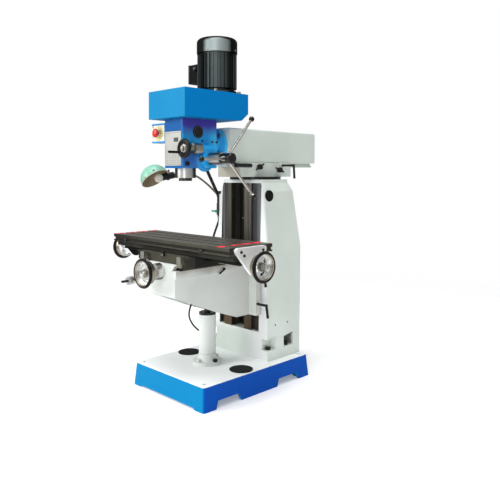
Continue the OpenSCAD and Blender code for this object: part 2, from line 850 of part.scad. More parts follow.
// The blue housing round the worm and the pinion, on the casting's right side
worm_x = 90;
worm_z = 41.5;
worm_d = 16;
worm_wheel_d = 66;
worm_wheel_t = 16;
housing_d = 84;
housing_len = 41;
worm_boss_d = 38;
worm_boss_front = 47;
worm_boss_rear = 34;
sleeve_d = 40;
sleeve_drop = 55;
plug_back = 24;
plug_z = 19;
plug_d = 18;
module at_tilt_bolts() {
    for (a = [45 : 90 : 315])
        translate([flange_bolt_pcd / 2 * cos(a), 0, tilt_z + flange_bolt_pcd / 2 * sin(a)]) children();
}
module head_casting() {
    color("dodgerblue") difference() {
        union() {
            translate([0, head_front + head_d / 2, head_z])
                rounded_block([head_w, head_d, head_h], head_corner_r);
            translate([0, head_back - over, tilt_z]) rod_y(flange_d - 4 * flange_t, neck_len + 2 * over);
            translate([0, tilt_y - flange_t, tilt_z]) rod_y(flange_d, flange_t - slide_gap);
            translate([0, tilt_y - over, tilt_z]) rod_y(tilt_pin_d, flange_t + ram_wall);
            translate([head_w / 2 - over, pinion_y, pinion_z]) rod_x(housing_d, housing_len + over);
            translate([worm_x, pinion_y - worm_boss_front, pinion_z + worm_z])
                rod_y(worm_boss_d, worm_boss_front + worm_boss_rear);
            translate([0, pinion_y - worm_boss_front, pinion_z + worm_z - worm_boss_d / 2])
                cube([worm_x, worm_boss_front + worm_boss_rear, worm_boss_d]);
        }
        // the floor under the pinion housing is flush with the casting's underside
        translate([0, head_front, head_z - housing_d]) cube([2 * head_w, head_d + neck_len, housing_d]);
        translate([0, spindle_y, head_z - over])
            post(quill_d + 2 * fit_gap, quill_len - quill_out + 2 * over);
        translate([0, spindle_y, head_z]) post(sleeve_d + 2 * fit_gap, head_h + over);
        translate([-head_w / 2 + 2 * head_corner_r, pinion_y, pinion_z])
            rod_x(pinion_d + 2 * pass_gap, head_w - 4 * head_corner_r);
        translate([0, pinion_y, pinion_z])
            rod_x(pinion_shaft_d + 2 * fit_gap, head_w / 2 + housing_len + over);
        translate([worm_x - worm_wheel_t / 2 - pass_gap, pinion_y, pinion_z])
            rod_x(worm_wheel_d + 2 * pass_gap, worm_wheel_t + 2 * pass_gap);
        translate([worm_x, pinion_y - worm_boss_front - over, pinion_z + worm_z])
            rod_y(worm_d + 2 * fit_gap, worm_boss_front + worm_boss_rear);
        translate([0, head_front + plug_back, head_z + plug_z]) rod_x(plug_d - 2 * fit_gap, head_w);
        at_tilt_bolts() translate([0, tilt_y - flange_t - over, 0])
            rod_y(tilt_bolt_d, flange_t + 2 * over);
    }
}
tilt_nut_d = 22;
tilt_nut_h = 11;
module tilt_bolts() {
    color("silver") at_tilt_bolts() {
        translate([0, tilt_y - flange_t - tilt_nut_h, 0]) rotate([-90, 0, 0])
            cylinder(d = tilt_nut_d, h = tilt_nut_h, $fn = 6);
        translate([0, tilt_y - flange_t - over, 0]) rod_y(tilt_bolt_d - 2 * fit_gap, 2 * flange_t - over);
    }
}
quill_lock_out = 8;
module quill_lock() {
    color("black") translate([head_w / 2, head_front + plug_back, head_z + plug_z]) {
        translate([pass_gap, 0, 0]) rod_x(plug_d + 4 * fit_gap, quill_lock_out);
        translate([-head_w / 8, 0, 0]) rod_x(plug_d - 4 * fit_gap, head_w / 8 + over);
    }
}

// BELT COVER AND BELT DRIVE
cover_rear_cut = 10;
cover_slope_len = 52;
cover_slope_h = 40;
cover_corner_r = 10;
cover_hole_d = 70;
spindle_pulley_d = 140;
motor_pulley_d = 84;
belt_t = 13;
pulley_h = 78;
pulley_low = 12;
sleeve_wall = 5;
motor_shaft_d = 24;
module cover_shape(inset, rise, drop) {
    front = head_front - cover_front + inset;
    back = head_front - cover_front + cover_len - inset;
    half = cover_w / 2 - inset;
    low = cover_z + inset + rise;
    high = cover_z + cover_h - inset - drop;
    intersection() {
        translate([0, 0, low]) linear_extrude(height = high - low) polygon([
            [-half, front], [half, front], [half, back - cover_rear_cut], [half - cover_rear_cut, back],
            [-half + cover_rear_cut, back], [-half, back - cover_rear_cut]
        ]);
        along_x(cover_w) polygon([
            [front, low], [back - cover_slope_len, low], [back, low + cover_slope_h],
                [back, high], [front, high]
        ]);
    }
}
module belt_cover() {
    color("deepskyblue") difference() {
        cover_shape(0, 0, 0);
        cover_shape(cover_wall, 0, 0);
        translate([0, spindle_y, cover_z - over]) post(cover_hole_d, 2 * cover_wall + over);
        translate([0, motor_y, cover_z + cover_h - 2 * cover_wall]) post(cover_hole_d, 3 * cover_wall);
    }
}
// A stepped V pulley with its largest step lowest
module step_pulley(large_d, small_d, bore) {
    steps = 3;
    difference() {
        union() for (i = [0 : steps - 1]) {
            d = large_d + (small_d - large_d) * i / (steps - 1);
            translate([0, 0, i * pulley_h / steps]) difference() {
                post(d, pulley_h / steps);
                translate([0, 0, pulley_h / steps / 6]) rotate_extrude($fn = round_fn) polygon([
                    [d / 2 - belt_t, pulley_h / steps / 6], [d / 2 + over, 0],
                    [d / 2 + over, pulley_h / steps * 2 / 3], [d / 2 - belt_t, pulley_h / steps / 2]
                ]);
            }
        }
        translate([0, 0, -over]) post(bore, pulley_h + 2 * over);
    }
}
module spindle_pulley() {
    bore = spline_d + 2 * fit_gap;
    color("silver") {
        translate([0, spindle_y, cover_z + pulley_low])
            step_pulley(spindle_pulley_d, motor_pulley_d, sleeve_d - over);
        translate([0, spindle_y, cover_z - sleeve_drop]) difference() {
            post(sleeve_d, sleeve_drop + pulley_low + pulley_h);
            translate([0, 0, -over]) post(bore, sleeve_drop + pulley_low + pulley_h + 2 * over);
        }
    }
}
module motor_pulley() {
    color("silver") translate([0, motor_y, cover_z + pulley_low])
        translate([0, 0, pulley_h]) mirror([0, 0, 1])
            step_pulley(spindle_pulley_d, motor_pulley_d, motor_shaft_d + 2 * fit_gap);
}
// Belt round the middle step of both pulleys
module drive_belt() {
    step_h = pulley_h / 3;
    d = (spindle_pulley_d + motor_pulley_d) / 2;
    h = step_h / 3 * (1 + belt_t / 2 / (belt_t + over)) - pass_gap;
    color("dimgray") translate([0, 0, cover_z + pulley_low + 3 / 2 * step_h - h / 2]) difference() {
        belt_loop(d, h);
        translate([0, 0, -over]) belt_loop(d - belt_t, h + 2 * over);
    }
}
module belt_loop(d, h) {
    translate([0, spindle_y, 0]) post(d, h);
    translate([0, motor_y, 0]) post(d, h);
    translate([-d / 2, spindle_y, 0]) cube([d, belt_centres, h]);
}

// MOTOR
fin_count = 30;
fin_h = 7;
fin_t = 3;
stator_wall = 20;
motor_neck_d = 130;
motor_neck_h = 20;
foot_plate_w = 160;
foot_plate_len = 166;
foot_plate_r = 16;
shaft_up = 46;
module motor_body() {
    core_d = motor_d - 2 * fin_h;
    color("dimgray") translate([0, motor_y, 0]) difference() {
        union() {
            translate([0, (foot_plate_len - foot_plate_w) / 4, motor_z - foot_plate_t])
                rounded_block([foot_plate_w, foot_plate_len, foot_plate_t], foot_plate_r);
            translate([0, 0, motor_z - over]) post(motor_neck_d, motor_neck_h + 2 * over);
            translate([0, 0, motor_z + motor_neck_h]) post(core_d, motor_h - motor_neck_h);
            translate([0, 0, motor_z + motor_neck_h]) for (i = [0 : fin_count - 1])
                rotate((i + 1 / 2) * 360 / fin_count) translate([core_d / 2 - fin_h / 2, -fin_t / 2, 0])
                    cube([fin_h * 3 / 2, fin_t, motor_h - motor_neck_h - fin_h]);
        }
        translate([0, 0, motor_z + motor_neck_h + foot_plate_t])
            post(core_d - 2 * stator_wall, motor_h - motor_neck_h - 2 * foot_plate_t);
        translate([0, 0, motor_z - foot_plate_t - over])
            post(motor_shaft_d + 2 * fit_gap, motor_h + 2 * foot_plate_t);
    }
}
cowl_round = 20;
cowl_wall = 3;
module motor_cowl() {
    function profile(inset) = concat(
        [[0, cowl_h - inset]],
        [for (a = [90 : -15 : 0])
            [cowl_d / 2 - cowl_round + (cowl_round - inset) * cos(a),
                cowl_h - cowl_round + (cowl_round - inset) * sin(a)]],
        [[cowl_d / 2 - inset, inset == 0 ? 0 : -over], [0, inset == 0 ? 0 : -over]]
    );
    color("black") translate([0, motor_y, cowl_z]) difference() {
        rotate_extrude($fn = round_fn) polygon(profile(0));
        translate([0, 0, cowl_wall]) rotate_extrude($fn = round_fn) polygon(profile(2 * cowl_wall));
        translate([0, 0, -over]) post(motor_neck_d, cowl_wall + 2 * over);
    }
}
terminal_w = 90;
terminal_h = 86;
terminal_d = 62;
terminal_up = 57;
module terminal_box() {
    color("black")
        translate([-(motor_d - 2 * fin_h) / 2 - terminal_d, motor_y - terminal_w / 2,
            motor_z + terminal_up])
        difference() {
            cube([terminal_d + stator_wall / 2, terminal_w, terminal_h]);
            translate([terminal_d + (motor_d - 2 * fin_h) / 2, terminal_w / 2, -over])
                post(motor_d + 2 * slide_gap, terminal_h + 2 * over);
        }
}
rotor_gap = 1;
fan_d = 160;
fan_h = 34;
fan_t = 4;
blade_count = 6;
module motor_shaft() {
    core_d = motor_d - 2 * fin_h;
    rotor_h = motor_h - motor_neck_h - 6 * foot_plate_t;
    low = cover_z + pulley_low;
    color("silver") translate([0, motor_y, 0]) {
        translate([0, 0, low]) post(motor_shaft_d, cowl_z + shaft_up - low);
        translate([0, 0, motor_z + motor_neck_h + 3 * foot_plate_t])
            post(core_d - 2 * stator_wall - 2 * rotor_gap, rotor_h);
        translate([0, 0, cowl_z + shaft_up - fan_h]) {
            post(fan_d, fan_t);
            for (i = [0 : blade_count - 1]) rotate(i * 360 / blade_count)
                translate([motor_shaft_d / 2 - over, -fan_t / 2, 0])
                    cube([fan_d / 2 - motor_shaft_d / 2, fan_t, fan_h]);
        }
    }
}

// QUILL AND SPINDLE
rack_len = 140;
module quill() {
    flat = pinion_back - pinion_d / 2;
    color("silver") translate([0, spindle_y, quill_z]) difference() {
        post(quill_d, quill_len);
        translate([0, 0, -over]) post(spindle_d + 2 * fit_gap, quill_len + 2 * over);
        translate([-quill_d / 2, flat, quill_len - rack_len]) cube([quill_d, quill_d, rack_len + over]);
    }
}
module spindle() {
    top = cover_z + pulley_low + pulley_h;
    color("silver") translate([0, spindle_y, 0]) difference() {
        union() {
            translate([0, 0, nose_z]) post(nose_d, nose_len - slide_gap);
            translate([0, 0, nose_z]) post(spindle_d, nose_len + quill_len);
            translate([0, 0, nose_z]) post(spline_d, top - nose_z);
        }
        translate([0, 0, nose_z - over]) post(drawbar_d, top - nose_z + 2 * over);
        translate([0, 0, nose_z])
            cylinder(d1 = taper_large_d, d2 = taper_small_d, h = taper_len, $fn = round_fn);
        translate([0, 0, nose_z - over]) post(taper_large_d, 2 * over);
    }
}

// QUILL FEED
dial_x = 105;
lever_out = 55;
lever_a = [62, -58, 182];
module pinion_shaft() {
    color("silver") translate([0, pinion_y, pinion_z]) {
        translate([0, 0, 0]) rod_x(pinion_shaft_d, dial_x + feed_dial_len + feed_hub_len / 2);
        translate([-head_w / 2 + 2 * head_corner_r + over, 0, 0])
            rod_x(pinion_d - 2 * pass_gap, head_w / 2);
    }
}
module feed_dial() {
    color("silver") translate([dial_x + pass_gap, pinion_y, pinion_z]) difference() {
        rod_x(feed_dial_d, feed_dial_len - pass_gap);
        translate([-over, 0, 0]) rod_x(pinion_shaft_d + 2 * fit_gap, feed_dial_len + 2 * over);
    }
}
module feed_hub() {
    start = dial_x + feed_dial_len;
    color("black") translate([start, pinion_y, pinion_z]) difference() {
        rod_x(feed_hub_d, feed_hub_len);
        translate([-over, 0, 0]) rod_x(pinion_shaft_d + 2 * fit_gap, feed_hub_len / 2 + over);
        for (a = lever_a) rotate([a, 0, 0])
            rod_between([feed_hub_len / 2, feed_hub_d / 4, 0],
                [feed_hub_len / 2 + lever_out, lever_reach, 0], lever_d);
    }
}
module feed_levers() {
    start = dial_x + feed_dial_len;
    color("silver") translate([start, pinion_y, pinion_z]) for (a = lever_a) rotate([a, 0, 0]) {
        root = [feed_hub_len / 2, feed_hub_d / 4, 0];
        tip = [feed_hub_len / 2 + lever_out, lever_reach, 0];
        rod_between(root + (tip - root) * fit_gap / lever_d, tip, lever_d - 2 * fit_gap);
        translate(tip) sphere(d = ball_d, $fn = round_fn);
    }
}
// FINE FEED
fine_wheel_gap = 3;
fine_wheel_t = 16;
fine_rim_d = 16;
fine_hub_d = 30;
fine_dial_d = 48;
fine_dial_len = 44;
fine_handle_len = 58;
fine_handle_d = 11;
fine_handle_a = 155;
fine_web_t = 6;
module fine_feed_wheel() {
    front = head_front - fine_wheel_gap - fine_wheel_t;
    color("black") translate([worm_x, front, pinion_z + worm_z]) difference() {
        union() {
            rotate([-90, 0, 0]) rotate_extrude($fn = round_fn)
                translate([fine_wheel_d / 2 - fine_rim_d / 2, fine_wheel_t / 2])
                    circle(d = fine_rim_d, $fn = hull_fn);
            translate([0, fine_wheel_t / 2 - fine_web_t / 2, 0])
                rod_y(fine_wheel_d - fine_rim_d, fine_web_t);
            rod_y(fine_hub_d, fine_wheel_t);
            rotate([0, fine_handle_a, 0])
                translate([fine_wheel_d / 2 - fine_rim_d / 2, fine_wheel_t / 2, 0])
                rotate([180, 0, 0]) rod_y(fine_handle_d, fine_handle_len);
        }
        translate([0, -over, 0]) rod_y(worm_d + 2 * fit_gap, fine_wheel_t + 2 * over);
    }
}
module fine_feed_worm() {
    front = head_front - fine_wheel_gap - fine_wheel_t;
    rear = pinion_y + worm_boss_rear - fine_dial_len / 4;
    color("silver") translate([worm_x, 0, pinion_z + worm_z]) {
        translate([0, front - fine_web_t, 0]) rod_y(worm_d, rear - front);
        translate([0, pinion_y - worm_boss_front - fine_dial_len, 0])
            rod_y(fine_dial_d, fine_dial_len - pass_gap);
    }
}
module worm_wheel() {
    color("goldenrod") translate([worm_x - worm_wheel_t / 2, pinion_y, pinion_z]) difference() {
        rod_x(worm_wheel_d, worm_wheel_t);
        translate([-over, 0, 0]) rod_x(pinion_shaft_d + 2 * fit_gap, worm_wheel_t + 2 * over);
    }
}

// PLATES AND SWITCH ON THE HEAD
plate_t = 1.5;
spec_plate_w = 114;
spec_plate_h = 148;
spec_plate_up = 10;
badge_d = 53;
badge_t = 4;
badge_back = 85;
badge_up = 50;
module spec_plate() {
    color("lightgray") translate([0, head_front - plate_t / 2, head_z + spec_plate_up])
        block([spec_plate_w, plate_t, spec_plate_h]);
}
module head_badge() {
    color("black") translate([head_w / 2, head_front + badge_back, tilt_z + badge_up])
        rod_x(badge_d, badge_t);
}
estop_w = 91;
estop_h = 86;
estop_d = 50;
estop_up = 5;
estop_lip = 5;
button_d = 40;
button_stem_d = 22;
button_gap = 9;
button_h = 13;
button_push = 5;
module estop_box() {
    color("dodgerblue") translate([-head_w / 2 - estop_w, head_front, tilt_z + estop_up]) difference() {
        cube([estop_w, estop_d, estop_h]);
        translate([estop_lip, -over, estop_lip])
            cube([estop_w - 2 * estop_lip, estop_lip + over, estop_h - 2 * estop_lip]);
        translate([estop_w / 2, -over, estop_h / 2]) rod_y(button_stem_d + 2 * fit_gap, estop_d / 2);
    }
    color("gold")
        translate([-head_w / 2 - estop_w + estop_lip, head_front + estop_lip - plate_t,
            tilt_z + estop_up + estop_lip])
        difference() {
            cube([estop_w - 2 * estop_lip, 2 * plate_t, estop_h - 2 * estop_lip]);
            translate([estop_w / 2 - estop_lip, -over, estop_h / 2 - estop_lip])
                rod_y(button_stem_d + 2 * fit_gap, estop_d / 2);
        }
}
module estop_button() {
    color("red")
        translate([-head_w / 2 - estop_w / 2, head_front - button_gap, tilt_z + estop_up + estop_h / 2]) {
        translate([0, -button_h, 0]) rod_y(button_d, button_h);
        rod_y(button_stem_d, button_gap + estop_d / 2 - button_push - over);
    }
}

// KNEE
knee_lip = 6;
slab_h = 34;
flange_plate_t = 15;
knee_pad_w = 262;
cross_z = 10;
cross_trough_w = 44;
cross_trough_d = 32;
gear_z = 47;
thrust_t = 22;
thrust_z = 100;
crank_x = -75;
crank_gear_d = 25;
screw_gear_d = 125;
gear_t = 20;
knee_dovetail_w = 200;
clamp_upper_z = 55;
clamp_lower_z = 193;
knee_lever_bore = 12;
knee_flange_lead = 54.5;
knee_level_len = 78;
knee_flange_front = guide_y - knee_flange_lead;
module knee_side() {
    polygon([
        [knee_front, knee_top], [knee_front, knee_top - knee_front_h],
        [elevation_y - 2 * knee_wall, knee_top - knee_middle_h],
        [knee_flange_front - knee_level_len, knee_top - knee_rear_h],
        [guide_y - slide_gap, knee_top - knee_rear_h],
        [guide_y - slide_gap, knee_top]
    ]);
}
module knee_dovetail(gap) {
    wide = knee_dovetail_w + 2 * gap;
    slim = wide - dovetail_loss(knee_dovetail_h);
    polygon([
        [-slim / 2, -over], [slim / 2, -over], [slim / 2, 0], [wide / 2, knee_dovetail_h + gap],
        [-wide / 2, knee_dovetail_h + gap], [-slim / 2, 0]
    ]);
}
module knee() {
    low = knee_top - knee_rear_h;
    inner_w = knee_w - 2 * knee_lip - 2 * knee_wall;
    slab_z = knee_top - slab_h;
    cheek_gap = foot_lead - slide_gap;
    flange_back = guide_y - foot_lead;
    root = way_w - dovetail_loss(way_d);
    color("white") difference() {
        union() {
            intersection() {
                along_x(knee_w - 2 * knee_lip) knee_side();
                translate([0, guide_y - knee_reach, low]) block([knee_w, 2 * knee_reach, knee_rear_h]);
            }
            translate([-knee_w / 2, knee_front, slab_z]) cube([knee_w, flange_back - knee_front, slab_h]);
            translate([-knee_flange_w / 2, knee_flange_front, low])
                cube([knee_flange_w, flange_back - knee_flange_front, knee_rear_h]);
            translate([-knee_pad_w / 2, flange_back - over, low])
                cube([knee_pad_w, guide_y - slide_gap - flange_back + over, knee_rear_h]);
            translate([0, knee_front + (flange_back - knee_front) / 2, knee_top])
                along_y(flange_back - knee_front) knee_dovetail(0);
        }
        // hollow inside, open below, with a bridge that carries the elevation screw
        difference() {
            translate([-inner_w / 2, knee_front + knee_wall, low - over])
                cube([inner_w, knee_flange_front - knee_front - 2 * knee_wall, slab_z - low + over]);
            translate([-inner_w / 2 - over, elevation_y - tube_d / 2 - knee_wall,
                knee_top - gear_z - thrust_z])
                cube([inner_w + 2 * over, tube_d + 2 * knee_wall, thrust_t]);
        }
        // slot for the column's dovetail way
        translate([0, 0, low - over])
            linear_extrude(height = knee_rear_h + knee_dovetail_h + 2 * over) polygon([
            [-way_w / 2 - slide_gap, way_y - slide_gap], [way_w / 2 + slide_gap, way_y - slide_gap],
            [root / 2 + slide_gap, guide_y + over], [-root / 2 - slide_gap, guide_y + over]
        ]);
        // trough of the cross screw, and its bearing
        translate([-cross_trough_w / 2, knee_front + 2 * knee_wall, knee_top - cross_trough_d])
            cube([cross_trough_w, flange_back - knee_front - 3 * knee_wall,
                cross_trough_d + 2 * knee_dovetail_h]);
        translate([0, knee_front - over, knee_top - cross_z])
            rod_y(cross_screw_d + 2 * fit_gap, knee_reach / 2);
        // elevation screw and shaft
        translate([0, elevation_y, knee_top - gear_z - thrust_z - over])
            post(thrust_d + 2 * fit_gap, thrust_t + 2 * over);
        translate([0, elevation_y, low]) post(elevation_screw_d + 2 * pass_gap, knee_rear_h / 2);
        translate([crank_x, knee_front - over, knee_top - gear_z])
            rod_y(crank_shaft_d + 2 * fit_gap, knee_wall + 2 * over);
        for (z = [clamp_upper_z, clamp_lower_z])
            translate([knee_flange_w / 2 - 2 * knee_lever_bore, knee_clamp_y, knee_top - z])
                rod_x(lever_stud_d + 2 * fit_gap, 3 * knee_lever_bore);
    }
}
knee_clamp_lead = 46;
knee_clamp_y = guide_y - knee_clamp_lead;
knee_lever_d = 12;
lower_lever_out = 57;
lower_lever_drop = 56;
lever_lean = 10;
upper_grip_len = 84;
upper_grip_d = 17;
upper_tail_len = 56;
upper_lever_out = 44;
module knee_clamp_lower() {
    color("black") translate([knee_flange_w / 2, knee_clamp_y, knee_top - clamp_lower_z])
        l_lever(lower_lever_out, lower_lever_drop, knee_lever_d, lever_lean);
}
module knee_clamp_upper() {
    color("black") translate([knee_flange_w / 2, knee_clamp_y, knee_top - clamp_upper_z]) {
        l_lever(upper_lever_out, upper_tail_len, knee_lever_d, lever_lean);
        rod_between([upper_lever_out, 0, 0],
            [upper_lever_out - upper_grip_len * sin(lever_lean) / 2, 0, upper_grip_len], upper_grip_d);
    }
}
crank_shaft_d = 20;
thrust_d = 52;
clutch_d = 34;
clutch_len = 24;
crank_out = 108;
stub_d = 10;
stub_len = 30;
lobe_w = 12;
lobe_len = 40;
screw_low = 40;
module elevation_screw() {
    gear_low = knee_top - gear_z - gear_t / 2;
    bridge = knee_top - gear_z - thrust_z;
    color("dimgray") translate([0, elevation_y, 0]) {
        translate([0, 0, screw_low]) post(elevation_screw_d, gear_low - screw_low + over);
        translate([0, 0, bridge]) post(thrust_d, thrust_t + slide_gap);
        translate([0, 0, bridge + thrust_t + slide_gap]) post(thrust_d + 2 * knee_wall, knee_wall);
        translate([0, 0, gear_low]) post(screw_gear_d - 2 * pass_gap, gear_t);
    }
}
module elevation_crank() {
    color("silver") translate([crank_x, 0, knee_top - gear_z]) {
        translate([0, knee_front - crank_out, 0])
            rod_y(crank_shaft_d, elevation_y + 2 * gear_t - knee_front + crank_out);
        translate([0, elevation_y - gear_t, 0]) rod_y(crank_gear_d - 2 * pass_gap, 2 * gear_t);
        translate([0, knee_front - crank_out, 0]) rod_y(clutch_d, clutch_len);
        translate([-lobe_len / 2, knee_front - crank_out, -lobe_w / 2])
            cube([lobe_len, clutch_len / 2, lobe_w]);
        translate([0, knee_front - crank_out - stub_len, 0]) rod_y(stub_d, stub_len + over);
    }
}

// SADDLE
saddle_skirt_w = 236;
saddle_corner_r = 6;
table_dovetail_h = 18;
table_dovetail_w = 130;
nut_boss_w = 36;
nut_boss_len = 40;
table_screw_back = 8;
table_screw_z = 24;
cross_screw_d = 20;
lock_x = 128;
lock_z = 8;
wiper_t = 9;
module table_dovetail(gap) {
    wide = table_dovetail_w + 2 * gap;
    slim = wide - dovetail_loss(table_dovetail_h);
    polygon([
        [table_y - slim / 2, table_z + over], [table_y + slim / 2, table_z + over],
            [table_y + slim / 2, table_z],
        [table_y + wide / 2, table_z - table_dovetail_h - gap],
        [table_y - wide / 2, table_z - table_dovetail_h - gap], [table_y - slim / 2, table_z]
    ]);
}
module saddle() {
    color("dimgray") difference() {
        union() {
            translate([0, table_y, saddle_z])
                rounded_block([saddle_w, table_w, saddle_h - slide_gap], saddle_corner_r);
            translate([0, table_y, knee_top + slide_gap])
                block([saddle_skirt_w, table_w, knee_dovetail_h]);
            translate([0, table_y, knee_top - cross_z - nut_boss_w / 2])
                block([nut_boss_w, nut_boss_len, knee_dovetail_h + cross_z + nut_boss_w]);
        }
        difference() {
            translate([0, table_y, knee_top]) along_y(table_w + 2 * over) knee_dovetail(slide_gap);
            translate([0, table_y, knee_top - cross_z - nut_boss_w / 2])
                block([nut_boss_w, nut_boss_len, knee_dovetail_h + cross_z + nut_boss_w]);
        }
        along_x(saddle_w + 2 * over) table_dovetail(slide_gap);
        translate([0, table_y, knee_top - cross_z]) translate([0, -table_w / 2, 0])
            rod_y(cross_screw_d + 2 * pass_gap, table_w);
        translate([-saddle_w / 2 - over, table_y + table_screw_back, table_z - table_screw_z])
            rod_x(table_screw_d + 2 * pass_gap, saddle_w + 2 * over);
        for (x = [-lock_x, lock_x])
            translate([x, table_y - table_w / 2 - over, table_z - lock_z - lever_stud_d / 2])
            rod_y(lever_stud_d + 2 * fit_gap, 2 * lever_stud_d);
    }
    // wipers on the front and the back of the skirt
    color("black") for (side = [-1, 1])
        translate([0, table_y + side * (table_w / 2 + wiper_t / 2),
            saddle_z - knee_dovetail_h + 2 * slide_gap]) difference() {
            block([saddle_skirt_w, wiper_t, knee_dovetail_h - 2 * slide_gap]);
            translate([0, 0, -2 * slide_gap]) along_y(2 * wiper_t) knee_dovetail(pass_gap);
        }
}
lock_w = 26;
lock_t = 9;
lock_arm = 20;
lock_drop = 44;
module lock_lever() {
    translate([0, -over, 0]) rod_y(lever_stud_d, lever_stud_d + over);
    translate([0, -lock_arm, 0]) rod_y(2 * lever_stud_d, lock_arm - pass_gap);
    translate([-lock_w / 2, -lock_arm - lock_t, -lock_drop + lever_stud_d])
        cube([lock_w, lock_t, lock_drop]);
}
module saddle_lock_left() {
    color("gray") translate([-lock_x, table_y - table_w / 2, table_z - lock_z - lever_stud_d / 2])
        lock_lever();
}
module saddle_lock_right() {
    color("gray") translate([lock_x, table_y - table_w / 2, table_z - lock_z - lever_stud_d / 2])
        lock_lever();
}

// HANDWHEELS
rim_d = 14;
drum_d = 108;
drum_len = 30;
drum_taper = 6;
web_t = 6;
wheel_hub_d = 34;
wheel_hub_len = 22;
spoke_hole_d = 21;
opening_a = 22;
// A handwheel on +Z: the rim's middle at zero, the drum behind it
module handwheel(bore) {
    rim_r = wheel_d / 2 - rim_d / 2;
    hole_at = (drum_d / 2 - web_t + wheel_hub_d / 2) / 2;
    difference() {
        union() {
            rotate_extrude($fn = round_fn) translate([rim_r, 0]) circle(d = rim_d, $fn = hull_fn);
            translate([0, 0, -drum_len]) difference() {
                cylinder(d1 = drum_d - 2 * drum_taper, d2 = drum_d, h = drum_len, $fn = round_fn);
                translate([0, 0, -over])
                    cylinder(d1 = drum_d - 2 * (drum_taper + web_t), d2 = drum_d - 2 * web_t,
                        h = drum_len + 2 * over, $fn = round_fn);
            }
            translate([0, 0, -drum_len / 2 - web_t]) post(drum_d - drum_taper - web_t, web_t);
            translate([0, 0, -drum_len]) post(wheel_hub_d, wheel_hub_len);
        }
        for (a = [30 : 120 : 270], swing = [-1, 0, 1]) rotate(a + swing * opening_a)
            translate([hole_at, 0, -drum_len / 2 - web_t - over]) post(spoke_hole_d, web_t + 2 * over);
        translate([0, 0, -2 * drum_len]) post(bore, 4 * drum_len);
    }
}
nut_d = 26;
cross_out = 85;
cross_screw_end = 3;
cross_dial_d = 70;
module cross_screw() {
    back = guide_y - foot_lead - 2 * knee_wall;
    end = knee_front - cross_out + drum_len - wheel_hub_len;
    color("silver") translate([0, 0, knee_top - cross_z]) {
        translate([0, end, 0]) rod_y(cross_screw_d, back - end);
        translate([0, knee_front - drum_len, 0]) rod_y(cross_dial_d, drum_len - pass_gap);
    }
}
module cross_wheel() {
    color("silver") translate([0, knee_front - cross_out, knee_top - cross_z]) rotate([90, 0, 0])
        handwheel(cross_screw_d + 2 * fit_gap);
}

// TABLE
slot_depth = 25;
slot_t_w = 24;
slot_t_h = 10;
groove_h = 12;
groove_d = 8;
groove_z = 26;
table_body_w = 196;
table_flange_h = 32;
module table_section() {
    half = table_w / 2;
    difference() {
        union() {
            translate([table_y - half, table_top - table_flange_h]) square([table_w, table_flange_h]);
            translate([table_y - table_body_w / 2, table_z]) square([table_body_w, table_h - over]);
            table_dovetail(0);
        }
        for (i = [0 : t_slots - 1])
            translate([table_y + (i - (t_slots - 1) / 2) * t_slot_pitch, table_top]) {
            translate([-t_slot_w / 2, -slot_depth]) square([t_slot_w, slot_depth + over]);
            translate([-slot_t_w / 2, -slot_depth]) square([slot_t_w, slot_t_h]);
        }
        for (side = [-1, 1]) translate([table_y + side * half - groove_d, table_top - groove_z])
            square([2 * groove_d, groove_h]);
        translate([table_y + table_screw_back - table_screw_d, table_z - table_screw_z - over])
            square([2 * table_screw_d, table_screw_z + over]);
    }
}
bracket_x = 14;
bearing_len = 16;
bearing_d = 52;
bracket_r = 12;
bracket_drop = 2;
left_extra = 50;
wheel_x = 455;
module end_bracket(extra) {
    axis_y = table_y + table_screw_back;
    axis_z = table_z - table_screw_z;
    difference() {
        union() {
            translate([table_len / 2, 0, 0]) rotate([90, 0, 90]) hull() {
                for (y = [table_y - table_w / 2 + 3 * bracket_r, table_y + table_w / 2 - 5 * bracket_r])
                    translate([y, table_top - bracket_r - bracket_drop])
                        cylinder(r = bracket_r, h = bracket_x, $fn = hull_fn);
                translate([axis_y, axis_z])
                    cylinder(d = bearing_d + 2 * bracket_r, h = bracket_x, $fn = hull_fn);
            }
            translate([table_len / 2 + bracket_x - over, axis_y, axis_z])
                rod_x(bearing_d, bearing_len + extra + over);
        }
        translate([table_len / 2 - over, axis_y, axis_z])
            rod_x(table_screw_d + 2 * fit_gap, bracket_x + bearing_len + extra + 2 * over);
    }
}
module table() {
    color("dimgray") along_x(table_len) table_section();
    color("white") end_bracket(0);
    color("white") mirror([1, 0, 0]) end_bracket(left_extra);
}
module table_screw() {
    end = table_len / 2 + bracket_x + bearing_len + wheel_hub_len + pass_gap;
    color("silver") translate([-end - left_extra, table_y + table_screw_back, table_z - table_screw_z])
        rod_x(table_screw_d, 2 * end + left_extra);
}
module table_wheels() {
    seat = table_len / 2 + bracket_x + bearing_len + pass_gap + drum_len;
    color("silver") translate([0, table_y + table_screw_back, table_z - table_screw_z]) {
        translate([seat, 0, 0]) rotate([0, 90, 0]) handwheel(table_screw_d + 2 * fit_gap);
        translate([-seat - left_extra, 0, 0]) rotate([0, -90, 0]) handwheel(table_screw_d + 2 * fit_gap);
    }
}

